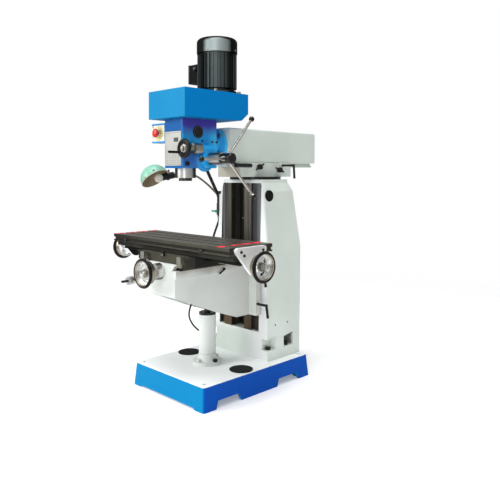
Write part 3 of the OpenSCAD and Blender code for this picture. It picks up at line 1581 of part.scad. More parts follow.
base();
base_hole_covers();
column();
column_cap();
base_bolts();
elevation_tube();
elevation_nut();
swivel_plate();
side_bracket();
tap_lever();
coolant_pipe();
coolant_hose();
knee_hose();
lamp_arm();
lamp_shade();
lamp_bulb();
turret();
ram_clamp_front();
ram_clamp_rear();
turret_lever();
ram_lever();
ram();
ram_gib();
head_casting();
tilt_bolts();
quill_lock();
belt_cover();
drive_belt();
motor_body();
motor_cowl();
terminal_box();
motor_shaft();
motor_pulley();
spindle_pulley();
quill();
spindle();
pinion_shaft();
feed_dial();
feed_hub();
feed_levers();
fine_feed_wheel();
fine_feed_worm();
worm_wheel();
spec_plate();
head_badge();
estop_box();
estop_button();
knee();
knee_clamp_upper();
knee_clamp_lower();
elevation_screw();
elevation_crank();
saddle();
saddle_lock_left();
saddle_lock_right();
cross_screw();
cross_wheel();
table();
table_screw();
table_wheels();
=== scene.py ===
"""Looks of the knee-type mill drill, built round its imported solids.

Places and sizes of the pieces are given in millimetres, in the frame of the solids:
the front faces -Y, +X is the operator's right, +Z is up and the floor is at 0.
"""

import math

import bmesh
import bpy
from mathutils import Matrix, Vector


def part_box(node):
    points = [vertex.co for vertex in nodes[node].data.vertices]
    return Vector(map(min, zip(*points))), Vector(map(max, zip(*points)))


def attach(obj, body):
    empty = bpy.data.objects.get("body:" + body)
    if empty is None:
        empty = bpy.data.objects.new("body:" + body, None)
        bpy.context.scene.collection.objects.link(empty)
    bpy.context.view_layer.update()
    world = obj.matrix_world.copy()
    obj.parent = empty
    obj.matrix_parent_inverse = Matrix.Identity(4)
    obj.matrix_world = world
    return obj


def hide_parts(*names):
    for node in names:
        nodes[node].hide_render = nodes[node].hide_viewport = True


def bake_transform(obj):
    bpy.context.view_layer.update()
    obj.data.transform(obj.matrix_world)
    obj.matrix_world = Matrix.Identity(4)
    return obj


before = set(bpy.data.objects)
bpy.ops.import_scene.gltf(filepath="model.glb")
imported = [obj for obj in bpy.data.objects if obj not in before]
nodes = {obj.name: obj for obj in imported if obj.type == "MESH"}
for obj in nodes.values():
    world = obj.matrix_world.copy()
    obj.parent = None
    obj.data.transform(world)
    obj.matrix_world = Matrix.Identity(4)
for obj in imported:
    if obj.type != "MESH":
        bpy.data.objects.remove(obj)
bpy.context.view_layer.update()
scene = bpy.context.scene
scene.view_settings.view_transform = "Standard"

# Planes that many pieces share
MOTOR_Y = -39.0
MOTOR_Z = 1324.75
COWL_Z = 1506.75
HEAD_FRONT = -293.0
TABLE_Y = -215.5
T_SLOT_PITCH = 63

# A place on the axis of each round piece
SPINDLE_AXIS = (0, -225.0, 0)
PINION_AXIS = (0, -168.0, 1021.25)
FINE_FEED_AXIS = (90, 0, 1062.75)
STOP_AXIS = (-109.5, 0, 1136.25)
BADGE_AXIS = (0, -208, 1138)
ELEVATION_AXIS = (0, -98.0, 0)
CROSS_AXIS = (0, 0, 545)
TABLE_SCREW_AXIS = (0, -207.5, 595)

# Metres: the planes of the handwheels' rims and the anchor holes of the base
CROSS_RIM_Y = -0.449
RIGHT_RIM_X, LEFT_RIM_X = 0.4603, -0.5103
ANCHOR_X, ANCHOR_Y = 0.2075, 0.293

# The ways that pieces point
RIGHT, LEFT = (1, 0, 0), (-1, 0, 0)
BACK, FORWARD = (0, 1, 0), (0, -1, 0)
UP = (0, 0, 1)


# ---------------------------------------------------------------- camera
def set_camera():
    """A level camera off the front right corner, with the horizon high in the picture."""
    eye = bpy.data.cameras.new("camera")
    eye.sensor_width = 36
    eye.lens = 42.7
    eye.shift_y = -0.154
    eye.clip_end = 60
    camera = bpy.data.objects.new("camera", eye)
    camera.location = (2.043, -1.867, 0.96)
    camera.rotation_euler = (math.radians(90), 0, math.radians(45))
    scene.collection.objects.link(camera)
    scene.camera = camera


set_camera()


# ---------------------------------------------------------------- routes of the hoses
COOLANT_HOSE_ROUTE = [
    (-195, 146, 747), (-195, 146, 736), (-195, 146, 716), (-200, 120, 650), (-214, 104, 560),
    (-222, 100, 420), (-222, 100, 250), (-222, 100, 112),
]
KNEE_HOSE_ROUTE = [
    (-50, -140, 408), (-50, -140, 400), (-50, -140, 384), (-55, -154, 348), (-58, -157, 308),
    (-58, -134, 266), (-57, -98, 232), (-54, -62, 199), (-52, -44, 160), (-52, -42, 136),
    (-52, -42, 124), (-52, -42, 112),
]
GOOSENECK_ROUTE = [
    (-195, 170, 812), (-197, 169, 826), (-212, 156, 848), (-233, 102, 904), (-262, 44, 948),
    (-305, -11, 957), (-310, -41, 952), (-312, -50, 950),
]
NECK_END = Vector(GOOSENECK_ROUTE[-1])
SHADE_MIDDLE = Vector((-330, -149, 932))


def smooth_route(points, steps):
    """A smooth curve through places in millimetres, as a list of places in metres."""
    last = len(points) - 1
    route = []
    for i in range(last):
        a, b, c, d = (Vector(points[min(max(i + k, 0), last)]) * 0.0005 for k in (-1, 0, 1, 2))
        for k in range(steps):
            t = k / steps
            bend = (2 * a - 5 * b + 4 * c - d) * t**2 + (3 * b - a - 3 * c + d) * t**3
            route.append(2 * b + (c - a) * t + bend)
    return route + [Vector(points[last]) * 0.001]


def length_of(route):
    """Length of a route along its points."""
    return sum((b - a).length for a, b in zip(route, route[1:]))


def tube_curve(name, route, radius, swell=None):
    """A round tube along a route, with a share of its radius at each point."""
    curve = bpy.data.curves.new(name, "CURVE")
    curve.dimensions = "3D"
    curve.bevel_depth = radius
    curve.bevel_resolution = 4
    curve.use_fill_caps = True
    line = curve.splines.new("POLY")
    line.points.add(len(route) - 1)
    for i, (point, place) in enumerate(zip(line.points, route)):
        point.co = (*place, 1)
        point.radius = swell[i] if swell else 1.0
    made = bpy.data.objects.new(name, curve)
    scene.collection.objects.link(made)
    return made


def tube_mesh(name, route, radius, sides=16):
    """A round tube of one skin along a route."""
    bm = bmesh.new()
    last = len(route) - 1
    before = None
    for i, place in enumerate(route):
        way = (route[min(i + 1, last)] - route[max(i - 1, 0)]).normalized()
        across = way.cross(Vector((1, 0, 0))).normalized()
        turn = Matrix((across, way.cross(across), way)).transposed().to_4x4()
        ring = bmesh.ops.create_circle(
            bm, cap_ends=i in (0, last), segments=sides, radius=radius,
            matrix=Matrix.Translation(place) @ turn,
        )
        edges = list({e for v in ring["verts"] for e in v.link_edges})
        if before:
            bmesh.ops.bridge_loops(bm, edges=before + edges)
        before = edges
    bmesh.ops.recalc_face_normals(bm, faces=bm.faces)
    mesh = bpy.data.meshes.new(name)
    bm.to_mesh(mesh)
    bm.free()
    for polygon in mesh.polygons:
        polygon.use_smooth = len(polygon.vertices) == 4
    made = bpy.data.objects.new(name, mesh)
    scene.collection.objects.link(made)
    return made


coolant_route = smooth_route(COOLANT_HOSE_ROUTE, 5)
coolant_hose_tube = tube_curve("coolant_hose_tube", coolant_route, 0.0055)
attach(coolant_hose_tube, "stand")
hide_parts("coolant_hose")
length_of(coolant_route)

knee_route = smooth_route(KNEE_HOSE_ROUTE, 3)
knee_hose_tube = tube_mesh("knee_hose_tube", knee_route, 0.004)
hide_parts("knee_hose")
length_of(knee_route)
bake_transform(knee_hose_tube)


# ---------------------------------------------------------------- shader sums
def hue(code):
    """A colour written as it looks on a screen, turned into the linear values of a shader."""
    parts = [int(code[i : i + 2], 16) / 255 for i in (0, 2, 4)]
    line = [p / 12.92 if p <= 0.04045 else ((p + 0.055) / 1.055) ** 2.4 for p in parts]
    return (*line, 1.0)


class Signal:
    """A socket of a shader node that takes part in sums written in Python."""

    def __init__(self, finish, socket):
        self.finish = finish
        self.socket = socket

    def sum(self, operation, *terms):
        """Adds a Math node that works on the terms."""
        return self.finish.node("ShaderNodeMath", {"operation": operation}, dict(enumerate(terms)))

    def __add__(self, other):
        return self.sum("ADD", self, other)

    __radd__ = __add__

    def __mul__(self, other):
        return self.sum("MULTIPLY", self, other)

    __rmul__ = __mul__

    def __sub__(self, other):
        return self.sum("SUBTRACT", self, other)

    def __rsub__(self, other):
        return self.sum("SUBTRACT", other, self)

    def __pow__(self, other):
        return self.sum("POWER", self, other)

    def __abs__(self):
        return self.sum("ABSOLUTE", self)

    def larger(self, other):
        return self.sum("MAXIMUM", self, other)

    def smaller(self, other):
        return self.sum("MINIMUM", self, other)


class Finish:
    """A material that is put together from signals."""

    def __init__(self, name):
        self.material = bpy.data.materials.new(name)
        self.material.use_nodes = True
        self.tree = self.material.node_tree
        self.shader = self.tree.nodes["Principled BSDF"]
        self.place = self.node("ShaderNodeTexCoord", out="Object")
        self.facing = self.node("ShaderNodeTexCoord", out="Normal")
        self.x, self.y, self.z = self.axes(self.place)

    def feed(self, sockets, values):
        """Links signals to sockets, and writes plain values in them."""
        for key, value in values.items():
            if isinstance(value, Signal):
                self.tree.links.new(value.socket, sockets[key])
            else:
                sockets[key].default_value = value

    def node(self, kind, settings=None, values=None, out=0):
        """Adds a node with its settings and then its sockets, and gives one of its outputs."""
        made = self.tree.nodes.new(kind)
        for key, value in (settings or {}).items():
            setattr(made, key, value)
        self.feed(made.inputs, values or {})
        return Signal(self, made.outputs[out])

    def axes(self, vector):
        """The three parts of a vector."""
        made = self.node("ShaderNodeSeparateXYZ", None, {0: vector})
        sockets = made.socket.node.outputs
        return [Signal(self, sockets[i]) for i in range(3)]

    def faces(self):
        """The way that the surface faces, as its three parts."""
        return self.axes(self.facing)

    def stretched(self, scale, turn=(0, 0, 0)):
        """The place, squeezed by a scale along each axis."""
        values = {"Vector": self.place, "Scale": scale, "Rotation": turn}
        return self.node("ShaderNodeMapping", None, values)

    def noise(self, scale, detail=2.0, rough=0.5, place=None):
        return self.node("ShaderNodeTexNoise", None, {
            "Vector": place or self.place, "Scale": scale, "Detail": detail, "Roughness": rough,
        })

    def cells(self, scale):
        return self.node("ShaderNodeTexVoronoi", None, {"Vector": self.place, "Scale": scale})

    def ramp(self, signal, low, high, at_low=0.0, at_high=1.0):
        """A signal between low and high, spread smoothly over two other values."""
        values = {0: signal, 1: low, 2: high, 3: at_low, 4: at_high}
        return self.node("ShaderNodeMapRange", {"interpolation_type": "SMOOTHSTEP"}, values)

    def below(self, signal, low, high):
        """A mask that is 1 up to low and nothing from high on."""
        return self.ramp(signal, low, high, 1.0, 0.0)

    def between(self, signal, low, high, soft=0.0004):
        """A mask that is 1 where the signal lies between two values."""
        risen = self.ramp(signal, low - soft, low + soft)
        return risen * self.below(signal, high - soft, high + soft)

    def mix(self, factor, first, second):
        values = {0: factor, 6: first, 7: second}
        return self.node("ShaderNodeMix", {"data_type": "RGBA"}, values, out=2)

    def offsets(self, centre, axis=None):
        """Metres from a place given in millimetres, along every axis but the one named."""
        here = (self.x, self.y, self.z)
        return [here[i] - centre[i] * 0.001 for i in range(3) if i != axis]

    def away(self, centre, axis=None):
        """Distance from a place, or from an axis through it."""
        squares = [part * part for part in self.offsets(centre, axis)]
        return sum(squares[1:], squares[0]) ** 0.5

    def ticks(self, axis, centre, count, share=0.14):
        """A mask of even marks round an axis."""
        a, b = self.offsets(centre, axis)
        turns = a.sum("ARCTAN2", a, b) * (count / math.tau) + 2 * count
        return self.below(turns.sum("PINGPONG", turns, 0.5), share * 0.5, share * 0.9)

    def tinted(self, coat, mask, colour):
        """The coat, with its colour moved to another where the mask is 1."""
        return (self.mix(mask, coat[0], colour), *coat[1:])

    def rim_dark(self, coat, low, high, dark):
        """Paints a dark reflection on a bright metal where it is seen at a slant, in place of a dim
        workshop mirrored in it.
        """
        shade = self.mix(1.0 - dark, coat[0], (0.01, 0.01, 0.008, 1.0))
        return self.tinted(coat, self.ramp(self.slant(), low, high), shade)

    def slant(self):
        """Nothing on a face seen squarely, one on a face seen along its surface."""
        return self.node("ShaderNodeLayerWeight", None, {"Blend": 0.5}, out=1)

    def edge(self, radius):
        """A mask of the sharp edges, as wide as the radius in metres."""
        round_way = self.node("ShaderNodeBevel", {"samples": 4}, {"Radius": radius})
        flat_way = self.node("ShaderNodeNewGeometry", out="Normal")
        alike = self.node(
            "ShaderNodeVectorMath", {"operation": "DOT_PRODUCT"}, {0: round_way, 1: flat_way}, out=1
        )
        return self.below(alike, 0.75, 0.995)

    def over(self, mask, below, above):
        """One coat laid over another where the mask is 1."""
        colour = self.mix(mask, below[0], above[0])
        rest = [a + mask * (b - a) if a is not b else a for a, b in zip(below[1:], above[1:])]
        return (colour, *rest)

    def done(self, coat, rounded=0.0, clear=0.0, shine=0.28):
        """Gives the shader its coat: colour, roughness, share of metal and height."""
        colour, rough, metallic, height = coat
        relief = {"Height": height, "Distance": 1.0, "Strength": 1.0}
        if rounded:
            relief["Normal"] = self.node("ShaderNodeBevel", {"samples": 4}, {"Radius": rounded})
        self.feed(self.shader.inputs, {
            "Base Color": colour,
            "Roughness": rough,
            "Metallic": metallic,
            "Normal": self.node("ShaderNodeBump", None, relief),
            "Specular IOR Level": shine,
            "Coat Weight": clear,
            "Coat Roughness": 0.12,
        })
        return self.material


# ---------------------------------------------------------------- coats
def paint(f, colour, rough=0.36, cast=0.00012, peel=0.00001, shade=0.94):
    """Sprayed enamel over a filled casting or sheet metal."""
    cloudy = f.noise(4.5, 3.0)
    dark = tuple(c * shade for c in colour[:3]) + (1.0,)
    tint = f.mix(f.ramp(cloudy, 0.35, 0.68), colour, dark)
    dust = f.noise(900, 1.0)
    height = f.noise(26, 4.0) * cast + f.noise(260, 2.0) * peel
    return (tint, rough + cloudy * 0.12 + dust * 0.05, 0.0, height)


def worn_paint(f, coat, bare, width=0.0012, share=0.55):
    """Paint that is rubbed thin along its sharp edges."""
    chips = f.ramp(f.noise(150, 4.0, 0.65), share, share + 0.12)
    mask = f.edge(width) * chips
    return f.over(mask, coat, (bare, 0.45, 0.0, coat[3]))


def metal(f, colour, rough=0.28, grain=(3, 300, 300), depth=0.000012, shade=0.82):
    """Machined metal with fine tool marks across one way."""
    marks = f.noise(1.0, 3.0, 0.6, f.stretched(grain))
    stain = f.noise(14, 4.0, 0.6)
    dark = tuple(c * shade for c in colour[:3]) + (1.0,)
    tint = f.mix(f.ramp(stain * 0.6 + marks * 0.4, 0.38, 0.66), colour, dark)
    return (tint, rough + marks * 0.16 + stain * 0.08, 1.0, marks * depth)


def plastic(f, colour, rough=0.34, grit=0.00002):
    """Moulded plastic or rubber with a fine skin."""
    skin = f.cells(1400)
    cloudy = f.noise(40, 2.0)
    dark = tuple(c * 0.8 for c in colour[:3]) + (1.0,)
    tint = f.mix(f.ramp(cloudy, 0.35, 0.7), colour, dark)
    return (tint, rough + cloudy * 0.12, 0.0, skin * grit)


WHITE = hue("e0e5e1")
COLUMN_WHITE = hue("dfe8e1")
BASE_WHITE = hue("fbffff")
PRIMER = hue("9aa19c")
# Front and side copies of the blues: the differences between them are painted light and shade.
BLUE_FRONT = hue("0c82b6")
BLUE_SIDE = hue("0080cb")
BASE_FRONT = hue("007eb4")
BASE_SIDE = hue("0650b4")
HEAD_FRONT_BLUE = hue("005ca2")
HEAD_BLUE = hue("28acf6")
BLACK = hue("111213")
MARK_INK = hue("2a2a28")
FINISHES = {}


def finish(make):
    """Makes each finish once, however many pieces ask for it."""

    def ask():
        name = make.__name__
        if name not in FINISHES:
            FINISHES[name] = make(Finish(name))
        return FINISHES[name]

    return ask


@finish
def machine_white(f):
    coat = paint(f, WHITE)
    return f.done(worn_paint(f, coat, PRIMER, 0.0009, 0.62), 0.0012)


@finish
def column_paint(f):
    """White paint, with the ways ground bare and their groove left dark; painted light makes the
    front faces whiter, with a painted shadow low on the front.
    """
    coat = worn_paint(f, paint(f, COLUMN_WHITE), PRIMER, 0.0012, 0.62)
    streaks = f.noise(1.0, 4.0, 0.6, f.stretched((120, 120, 1.4)))
    flaking = f.noise(1.0, 3.0, 0.6, f.stretched((260, 260, 40)))
    low = f.ramp(f.z, 0.30, 0.42)
    tone = f.mix(low, hue("5f4a2f"), hue("67665d"))
    tone = f.mix(f.ramp(streaks, 0.3, 0.72), tone, hue("3c3934"))
    tone = f.mix(f.ramp(f.noise(2.2, 2.0), 0.5, 0.7) * 0.5, tone, hue("88909a"))
    ground = (tone, 0.24 + streaks * 0.24, 1.0, streaks * 0.00001 + flaking * 0.00001)
    dull = f.mix(f.ramp(f.noise(3.0, 3.0), 0.4, 0.7), hue("2b2920"), hue("15120d"))
    groove = (dull, 0.5 + streaks * 0.2, 0.3, streaks * 0.00004)
    wide = f.below(abs(f.x), 0.1329, 0.1333)
    tall = f.between(f.z, 0.2262, 0.9128, 0.0002)
    front = f.below(f.y, 0.1195, 0.1199)
    inner = f.below(abs(f.x), 0.0424, 0.0427) * f.between(f.y, 0.0945, 0.1494, 0.0003)
    bare = wide * tall * front.larger(inner)
    faces = f.faces()
    # Painted light: front faces get a lighter white, and a painted shadow of the elevation tube
    # lies low on the front.
    ahead = f.below(faces[1], -0.97, -0.8)
    shaded = f.below(f.z, 0.19, 0.25) * f.below(f.x, 0.02, 0.12)
    pale = f.mix(shaded, hue("f1f4f3"), hue("cfd9d1"))
    coat = f.over(bare, f.tinted(coat, ahead, pale), ground)
    floor_tone = f.mix(low, hue("57493a"), hue("797d80"))
    floor_tone = f.mix(f.ramp(streaks, 0.3, 0.72), floor_tone, hue("5a5a5c"))
    recess = bare * f.ramp(f.y, 0.1182, 0.1186) * f.ramp(abs(f.x), 0.0733, 0.074)
    coat = f.over(recess, coat, (floor_tone, 0.5, 0.3, ground[3]))
    coat = f.over(wide * tall * inner, coat, groove)
    return f.done(coat, 0.0016)


@finish
def turret_paint(f):
    """White paint with a painted warm grey shade on the front faces, under the head."""
    faces = f.faces()
    # Painted shade: faces turned to the front get a warm grey.
    front = f.ramp(faces[1], -0.9, -0.5, 0.8, 0.0)
    coat = f.tinted(paint(f, COLUMN_WHITE), front, hue("b5ab99"))
    return f.done(worn_paint(f, coat, PRIMER, 0.0012, 0.62), 0.0016)


@finish
def base_paint(f):
    """Blue sides under a white top; the sides facing right and left are a darker blue as painted
    shade.
    """
    faces = f.faces()
    # Painted shade: the sides facing right and left get a darker blue.
    painted_side_shade = f.ramp(abs(faces[0]), 0.5, 0.8)
    blue = f.mix(painted_side_shade, BASE_FRONT, BASE_SIDE)
    sides = worn_paint(f, (blue, *paint(f, BASE_FRONT)[1:]), hue("1c4f9c"), 0.0016, 0.56)
    scuffs = f.ramp(f.noise(1.0, 5.0, 0.7, f.stretched((40, 9, 9))), 0.66, 0.78) * 0.25
    top = f.tinted(paint(f, BASE_WHITE, 0.3, 0.0002), scuffs, hue("b9bfba"))
    edge = f.noise(60, 3.0) * 0.0016
    above = f.ramp(f.z + edge, 0.0985, 0.0989)
    hole_x, hole_y = abs(f.x) - ANCHOR_X, abs(f.y) - ANCHOR_Y
    holes = f.below((hole_x * hole_x + hole_y * hole_y) ** 0.5, 0.0092, 0.0095)
    return f.done(f.over(above.larger(holes), sides, top), 0.002, shine=0.06)


@finish
def cover_blue(f):
    faces = f.faces()
    # Painted shade: the sides facing right and left get their own blue.
    painted_side_shade = f.ramp(abs(faces[0]), 0.4, 0.8)
    coat = f.tinted(paint(f, BLUE_FRONT, 0.3, 0.00005), painted_side_shade, BLUE_SIDE)
    return f.done(worn_paint(f, coat, hue("4fb4e6"), 0.0009, 0.6), 0.002, shine=0.07)


@finish
def head_blue(f):
    """Glossy blue enamel, with a painted darker front, painted light towards the back, painted
    glints, and painted violet shade and reflection high and low on the right side.
    """
    faces = f.faces()
    coat = paint(f, HEAD_BLUE, 0.26, 0.0004, 0.00003)
    # Painted shade: the front face is a darker blue.
    ahead = f.below(faces[1], -0.95, -0.75) * f.below(f.y, -0.28, -0.27)
    coat = f.tinted(coat, ahead, HEAD_FRONT_BLUE)
    # Painted light: lighter blue towards the back.
    coat = f.tinted(coat, f.ramp(f.y, -0.16, -0.1), hue("4cc8ff"))
    # Painted violet shade and reflection, high and low on the right side.
    right = f.ramp(faces[0], 0.3, 0.9) * f.ramp(f.x, 0.1, 0.06)
    drift = f.noise(7, 2.0) * 0.08
    high = f.ramp(f.z + drift, 1.15, 1.215)
    low = f.below(f.z + drift, 1.08, 1.13) * f.below(f.y, -0.24, -0.17)
    # Painted glints: patches of lighter cyan on the right side.
    glint = f.ramp(f.noise(14, 2.0), 0.52, 0.68) * right * 0.4
    coat = f.tinted(coat, glint, hue("48c4fa"))
    coat = f.tinted(coat, right * (high + low * 0.65), hue("4a37a4"))
    coat = f.tinted(coat, f.edge(0.004) * 0.4, hue("4fb4ea"))
    return f.done(coat, 0.0025, 0.2, 0.1)


@finish
def black_paint(f):
    coat = paint(f, BLACK, 0.3, 0.00015, 0.00002)
    return f.done(worn_paint(f, coat, hue("4a4b4c"), 0.001, 0.6), 0.001, 0.2)


@finish
def motor_black(f):
    """Satin black enamel with a broad painted highlight where it is seen squarely, brighter on the
    cowl, and painted deep black shade where it is seen at a slant.
    """
    coat = paint(f, hue("5d6564"), 0.4, 0.00004, 0.00001, 0.85)
    # Painted highlight: a lighter colour on the cowl.
    cowl = f.ramp(f.z, COWL_Z * 0.001 - 0.0002, COWL_Z * 0.001)
    tone = f.mix(cowl, coat[0], hue("a6b2b1"))
    # Painted highlight where the surface is seen squarely, painted black shade where it is seen at
    # a slant.
    painted_sheen = f.below(f.slant(), 0.04, 0.32)
    tone = f.mix(painted_sheen, hue("0a0b0a"), tone)
    return f.done((tone, coat[1], painted_sheen * 0.85, coat[3]), 0.0012, shine=0.04)


@finish
def black_rubber(f):
    return f.done(plastic(f, hue("101210"), 0.6, 0.00005), 0.001, shine=0.15)


@finish
def hose_rubber(f):
    return f.done(plastic(f, hue("20211f"), 0.42, 0.00002))


@finish
def black_plastic(f):
    return f.done(plastic(f, hue("141516"), 0.22), 0.0008, 0.3)


@finish
def bolt_paint(f):
    """Bare black, but white with the elevation tube on all but its right side."""
    near = f.below(f.away(ELEVATION_AXIS, 2), 0.066, 0.067)
    painted = near * f.below(f.x, 0.03, 0.031)
    return f.done(f.over(painted, paint(f, BLACK, 0.4), paint(f, WHITE)), 0.0008)


@finish
def red_plastic(f):
    return f.done(plastic(f, hue("dc2420"), 0.28), 0.0008, 0.3)


@finish
def dark_steel(f):
    return f.done(metal(f, hue("4a4946"), 0.38, (200, 200, 20)), 0.0008)


@finish
def neck_steel(f):
    """Wound neck, dull grey with a warm tint."""
    return f.done(metal(f, hue("8d8476"), 0.34, (200, 200, 20)))


@finish
def rim_enamel(f):
    return f.done(paint(f, hue("c9bfa4"), 0.3, 0.00003), 0.0, 0.2)


@finish
def grey_plastic(f):
    return f.done(plastic(f, hue("d9d9d2"), 0.36), 0.0008)


@finish
def steel(f):
    return f.done(metal(f, hue("b4b4ae"), 0.26, (200, 200, 30)), 0.0008)


@finish
def turned_steel(f):
    """Bright turned steel, with even marks on the dial of the fine feed and a painted dark
    reflection where it is seen at a slant.
    """
    coat = metal(f, hue("a9a79e"), 0.22, (60, 60, 900))
    marks = f.ticks(1, FINE_FEED_AXIS, 40) * f.between(f.y, -0.2585, -0.251, 0.0002)
    coat = f.rim_dark(coat, 0.4, 0.85, 0.3)
    return f.done(f.over(marks, coat, (MARK_INK, 0.5, 0.2, coat[3])), 0.0006)


@finish
def bronze(f):
    return f.done(metal(f, hue("b08a4a"), 0.32, (200, 60, 60)), 0.0006)


@finish
def aluminium(f):
    return f.done(metal(f, hue("c6c8c6"), 0.3, (300, 300, 12)), 0.0008)


@finish
def quill_chrome(f):
    coat = metal(f, hue("e0deda"), 0.24, (10, 10, 900), 0.000003, 0.92)
    # Painted dark reflection where the quill is seen at a slant.
    return f.done(f.rim_dark(coat, 0.12, 0.42, 0.04), 0.0006)


@finish
def spindle_steel(f):
    """Dark spindle with a bright rim round its taper."""
    ring = f.away(SPINDLE_AXIS, 2)
    coat = metal(f, hue("55534e"), 0.28, (60, 60, 900))
    bright = metal(f, hue("b8b6b0"), 0.2, (60, 60, 900))
    return f.done(f.over(f.ramp(ring, 0.0255, 0.026), bright, coat), 0.0008)


@finish
def knee_white(f):
    """White paint, with a brown stain high on the right side and greyer towards the column."""
    right = f.ramp(f.faces()[0], 0.6, 0.9)
    stain = f.ramp(f.z + f.noise(9, 3.0) * 0.05, 0.545, 0.578) * right
    coat = f.tinted(paint(f, WHITE), stain * 0.45, hue("8c7355"))
    coat = f.tinted(coat, f.ramp(f.y, -0.16, 0.06) * right * 0.5, hue("b0aea6"))
    return f.done(worn_paint(f, coat, PRIMER, 0.0012, 0.62), 0.0016)


@finish
def saddle_grey(f):
    """Dark ground casting, with black rubber wipers at its foot, painted shade near black towards
    both ends, and its end faces given the wipers' black rubber as painted shade.
    """
    iron = metal(f, hue("4e4b3f"), 0.42, (12, 160, 160), 0.00002, 0.7)
    # Painted shade: near black towards both ends.
    dark = f.below(f.x, -0.175, -0.14).larger(f.ramp(f.x, 0.13, 0.17))
    iron = (f.mix(dark, iron[0], hue("12110c")), iron[1] + dark * 0.2, 0.55 - dark * 0.5, iron[3])
    wiper = plastic(f, hue("131412"), 0.6, 0.00005)
    low = f.below(f.z, 0.5766, 0.5768) * f.ramp(abs(f.y - TABLE_Y * 0.001), 0.1195, 0.1199)
    # Painted shade: the end faces get the black rubber of the wipers.
    ends = f.ramp(abs(f.x), 0.1985, 0.1993)
    return f.done(f.over(low.larger(ends), iron, wiper), 0.0012)


@finish
def lock_plate(f):
    return f.done(metal(f, hue("a9a89c"), 0.26, (8, 8, 300), 0.00002), 0.001)


@finish
def table_iron(f):
    """Ground top with dark slots, red strips near its ends and painted end brackets; the flank
    carries painted shade towards the left and below the top.
    """
    marks = f.noise(1.0, 4.0, 0.65, f.stretched((5, 260, 260)))
    scrape = f.noise(1.0, 3.0, 0.5, f.stretched((60, 22, 60), (0, 0, 0.5)))
    stain = f.noise(7, 4.0, 0.6)
    tone = f.mix(f.ramp(stain, 0.35, 0.7), hue("6f6b62"), hue("5a564e"))
    tone = f.mix(f.ramp(marks, 0.35, 0.7) * 0.45, tone, hue("7d7669"))
    rusty = f.ramp(f.noise(1.0, 4.0, 0.6, f.stretched((10, 90, 90))), 0.5, 0.64)
    lips = None
    for place in (-T_SLOT_PITCH, 0, T_SLOT_PITCH):
        lip = f.between(abs(f.y - (TABLE_Y + place) * 0.001), 0.0069, 0.0105, 0.0008)
        lips = lip if lips is None else lips.larger(lip)
    tone = f.mix(lips * rusty * 0.6, tone, hue("8a4a3e"))
    top = (tone, 0.3 + marks * 0.14 + scrape * 0.1, 0.85, marks * 0.000014)
    flank = metal(f, hue("55544a"), 0.42, (4, 200, 200), 0.00002, 0.75)
    # Painted shade: the flank darkens towards the left and below the top.
    painted_flank_shade = f.ramp(f.x, -0.42, 0.1, 1.0, 0.15).larger(f.ramp(f.z, 0.6405, 0.6415, 0.75, 0.0))
    flank = (f.mix(painted_flank_shade, flank[0], hue("0b0a07")), flank[1] + painted_flank_shade * 0.2, 0.8 - painted_flank_shade * 0.8, flank[3])
    upper = f.ramp(f.z, 0.6734, 0.6737)
    coat = f.over(upper, flank, top)
    slot = f.below(f.z, 0.6725, 0.6733) * f.ramp(f.z, 0.648, 0.6485)
    slot = slot * f.below(abs(f.y - TABLE_Y * 0.001), 0.117, 0.118)
    coat = f.over(slot, coat, (hue("2b251f"), 0.6, 0.2, marks * 0.00002))
    chips = f.below(f.noise(1.0, 4.0, 0.6, f.stretched((45, 30, 45))), 0.54, 0.6)
    strip = f.between(f.x, 0.322, 0.352, 0.0003).larger(f.between(f.x, -0.391, -0.366, 0.0003))
    strip = strip * upper * f.ramp(chips, 0.2, 0.5)
    red = f.mix(rusty, hue("f01d38"), hue("cf1a30"))
    coat = f.over(strip, coat, (red, 0.5, 0.0, marks * 0.00001))
    ends = f.ramp(abs(f.x), 0.4001, 0.4003)
    coat = f.over(ends, coat, paint(f, hue("e9ebea"), 0.3, 0.0002))
    return f.done(coat, 0.0012)


def wheel_coat(f, ring, ahead):
    """Black rim, satin drum, bright web and dark hub of a handwheel.

    The ring is the distance from its axis, and ahead the distance from the plane of its rim.
    """
    bright = metal(f, hue("f0f1ee"), 0.2, (20, 20, 20), 0.000003, 0.95)
    drum = metal(f, hue("a39a8a"), 0.24, (200, 200, 200), 0.00001)
    rim = plastic(f, hue("0b0b0b"), 0.42)
    hub = metal(f, hue("837d70"), 0.3, (60, 60, 60), 0.000006)
    coat = f.over(f.ramp(ring, 0.0474, 0.0484), bright, drum)
    coat = f.over(f.below(ring, 0.0172, 0.0175), coat, hub)
    near_rim = f.ramp(ring, 0.0512, 0.0518) * f.below(ahead, 0.0069, 0.0073)
    return f.over(near_rim, coat, rim)


@finish
def cross_wheel_chrome(f):
    coat = wheel_coat(f, f.away(CROSS_AXIS, 1), abs(f.y - CROSS_RIM_Y))
    return f.done(coat, 0.001, shine=0.15)


@finish
def table_wheel_chrome(f):
    ahead = abs(f.x - RIGHT_RIM_X).smaller(abs(f.x - LEFT_RIM_X))
    return f.done(wheel_coat(f, f.away(TABLE_SCREW_AXIS, 0), ahead), 0.001, shine=0.15)


@finish
def crank_steel(f):
    """Pale hub and black stub of the elevation crank's clutch."""
    coat = metal(f, hue("dcdcd8"), 0.24, (200, 40, 200), 0.000006, 0.9)
    stub = f.below(f.y, -0.4722, -0.4719)
    return f.done(f.over(stub, coat, plastic(f, hue("151413"))), 0.001)


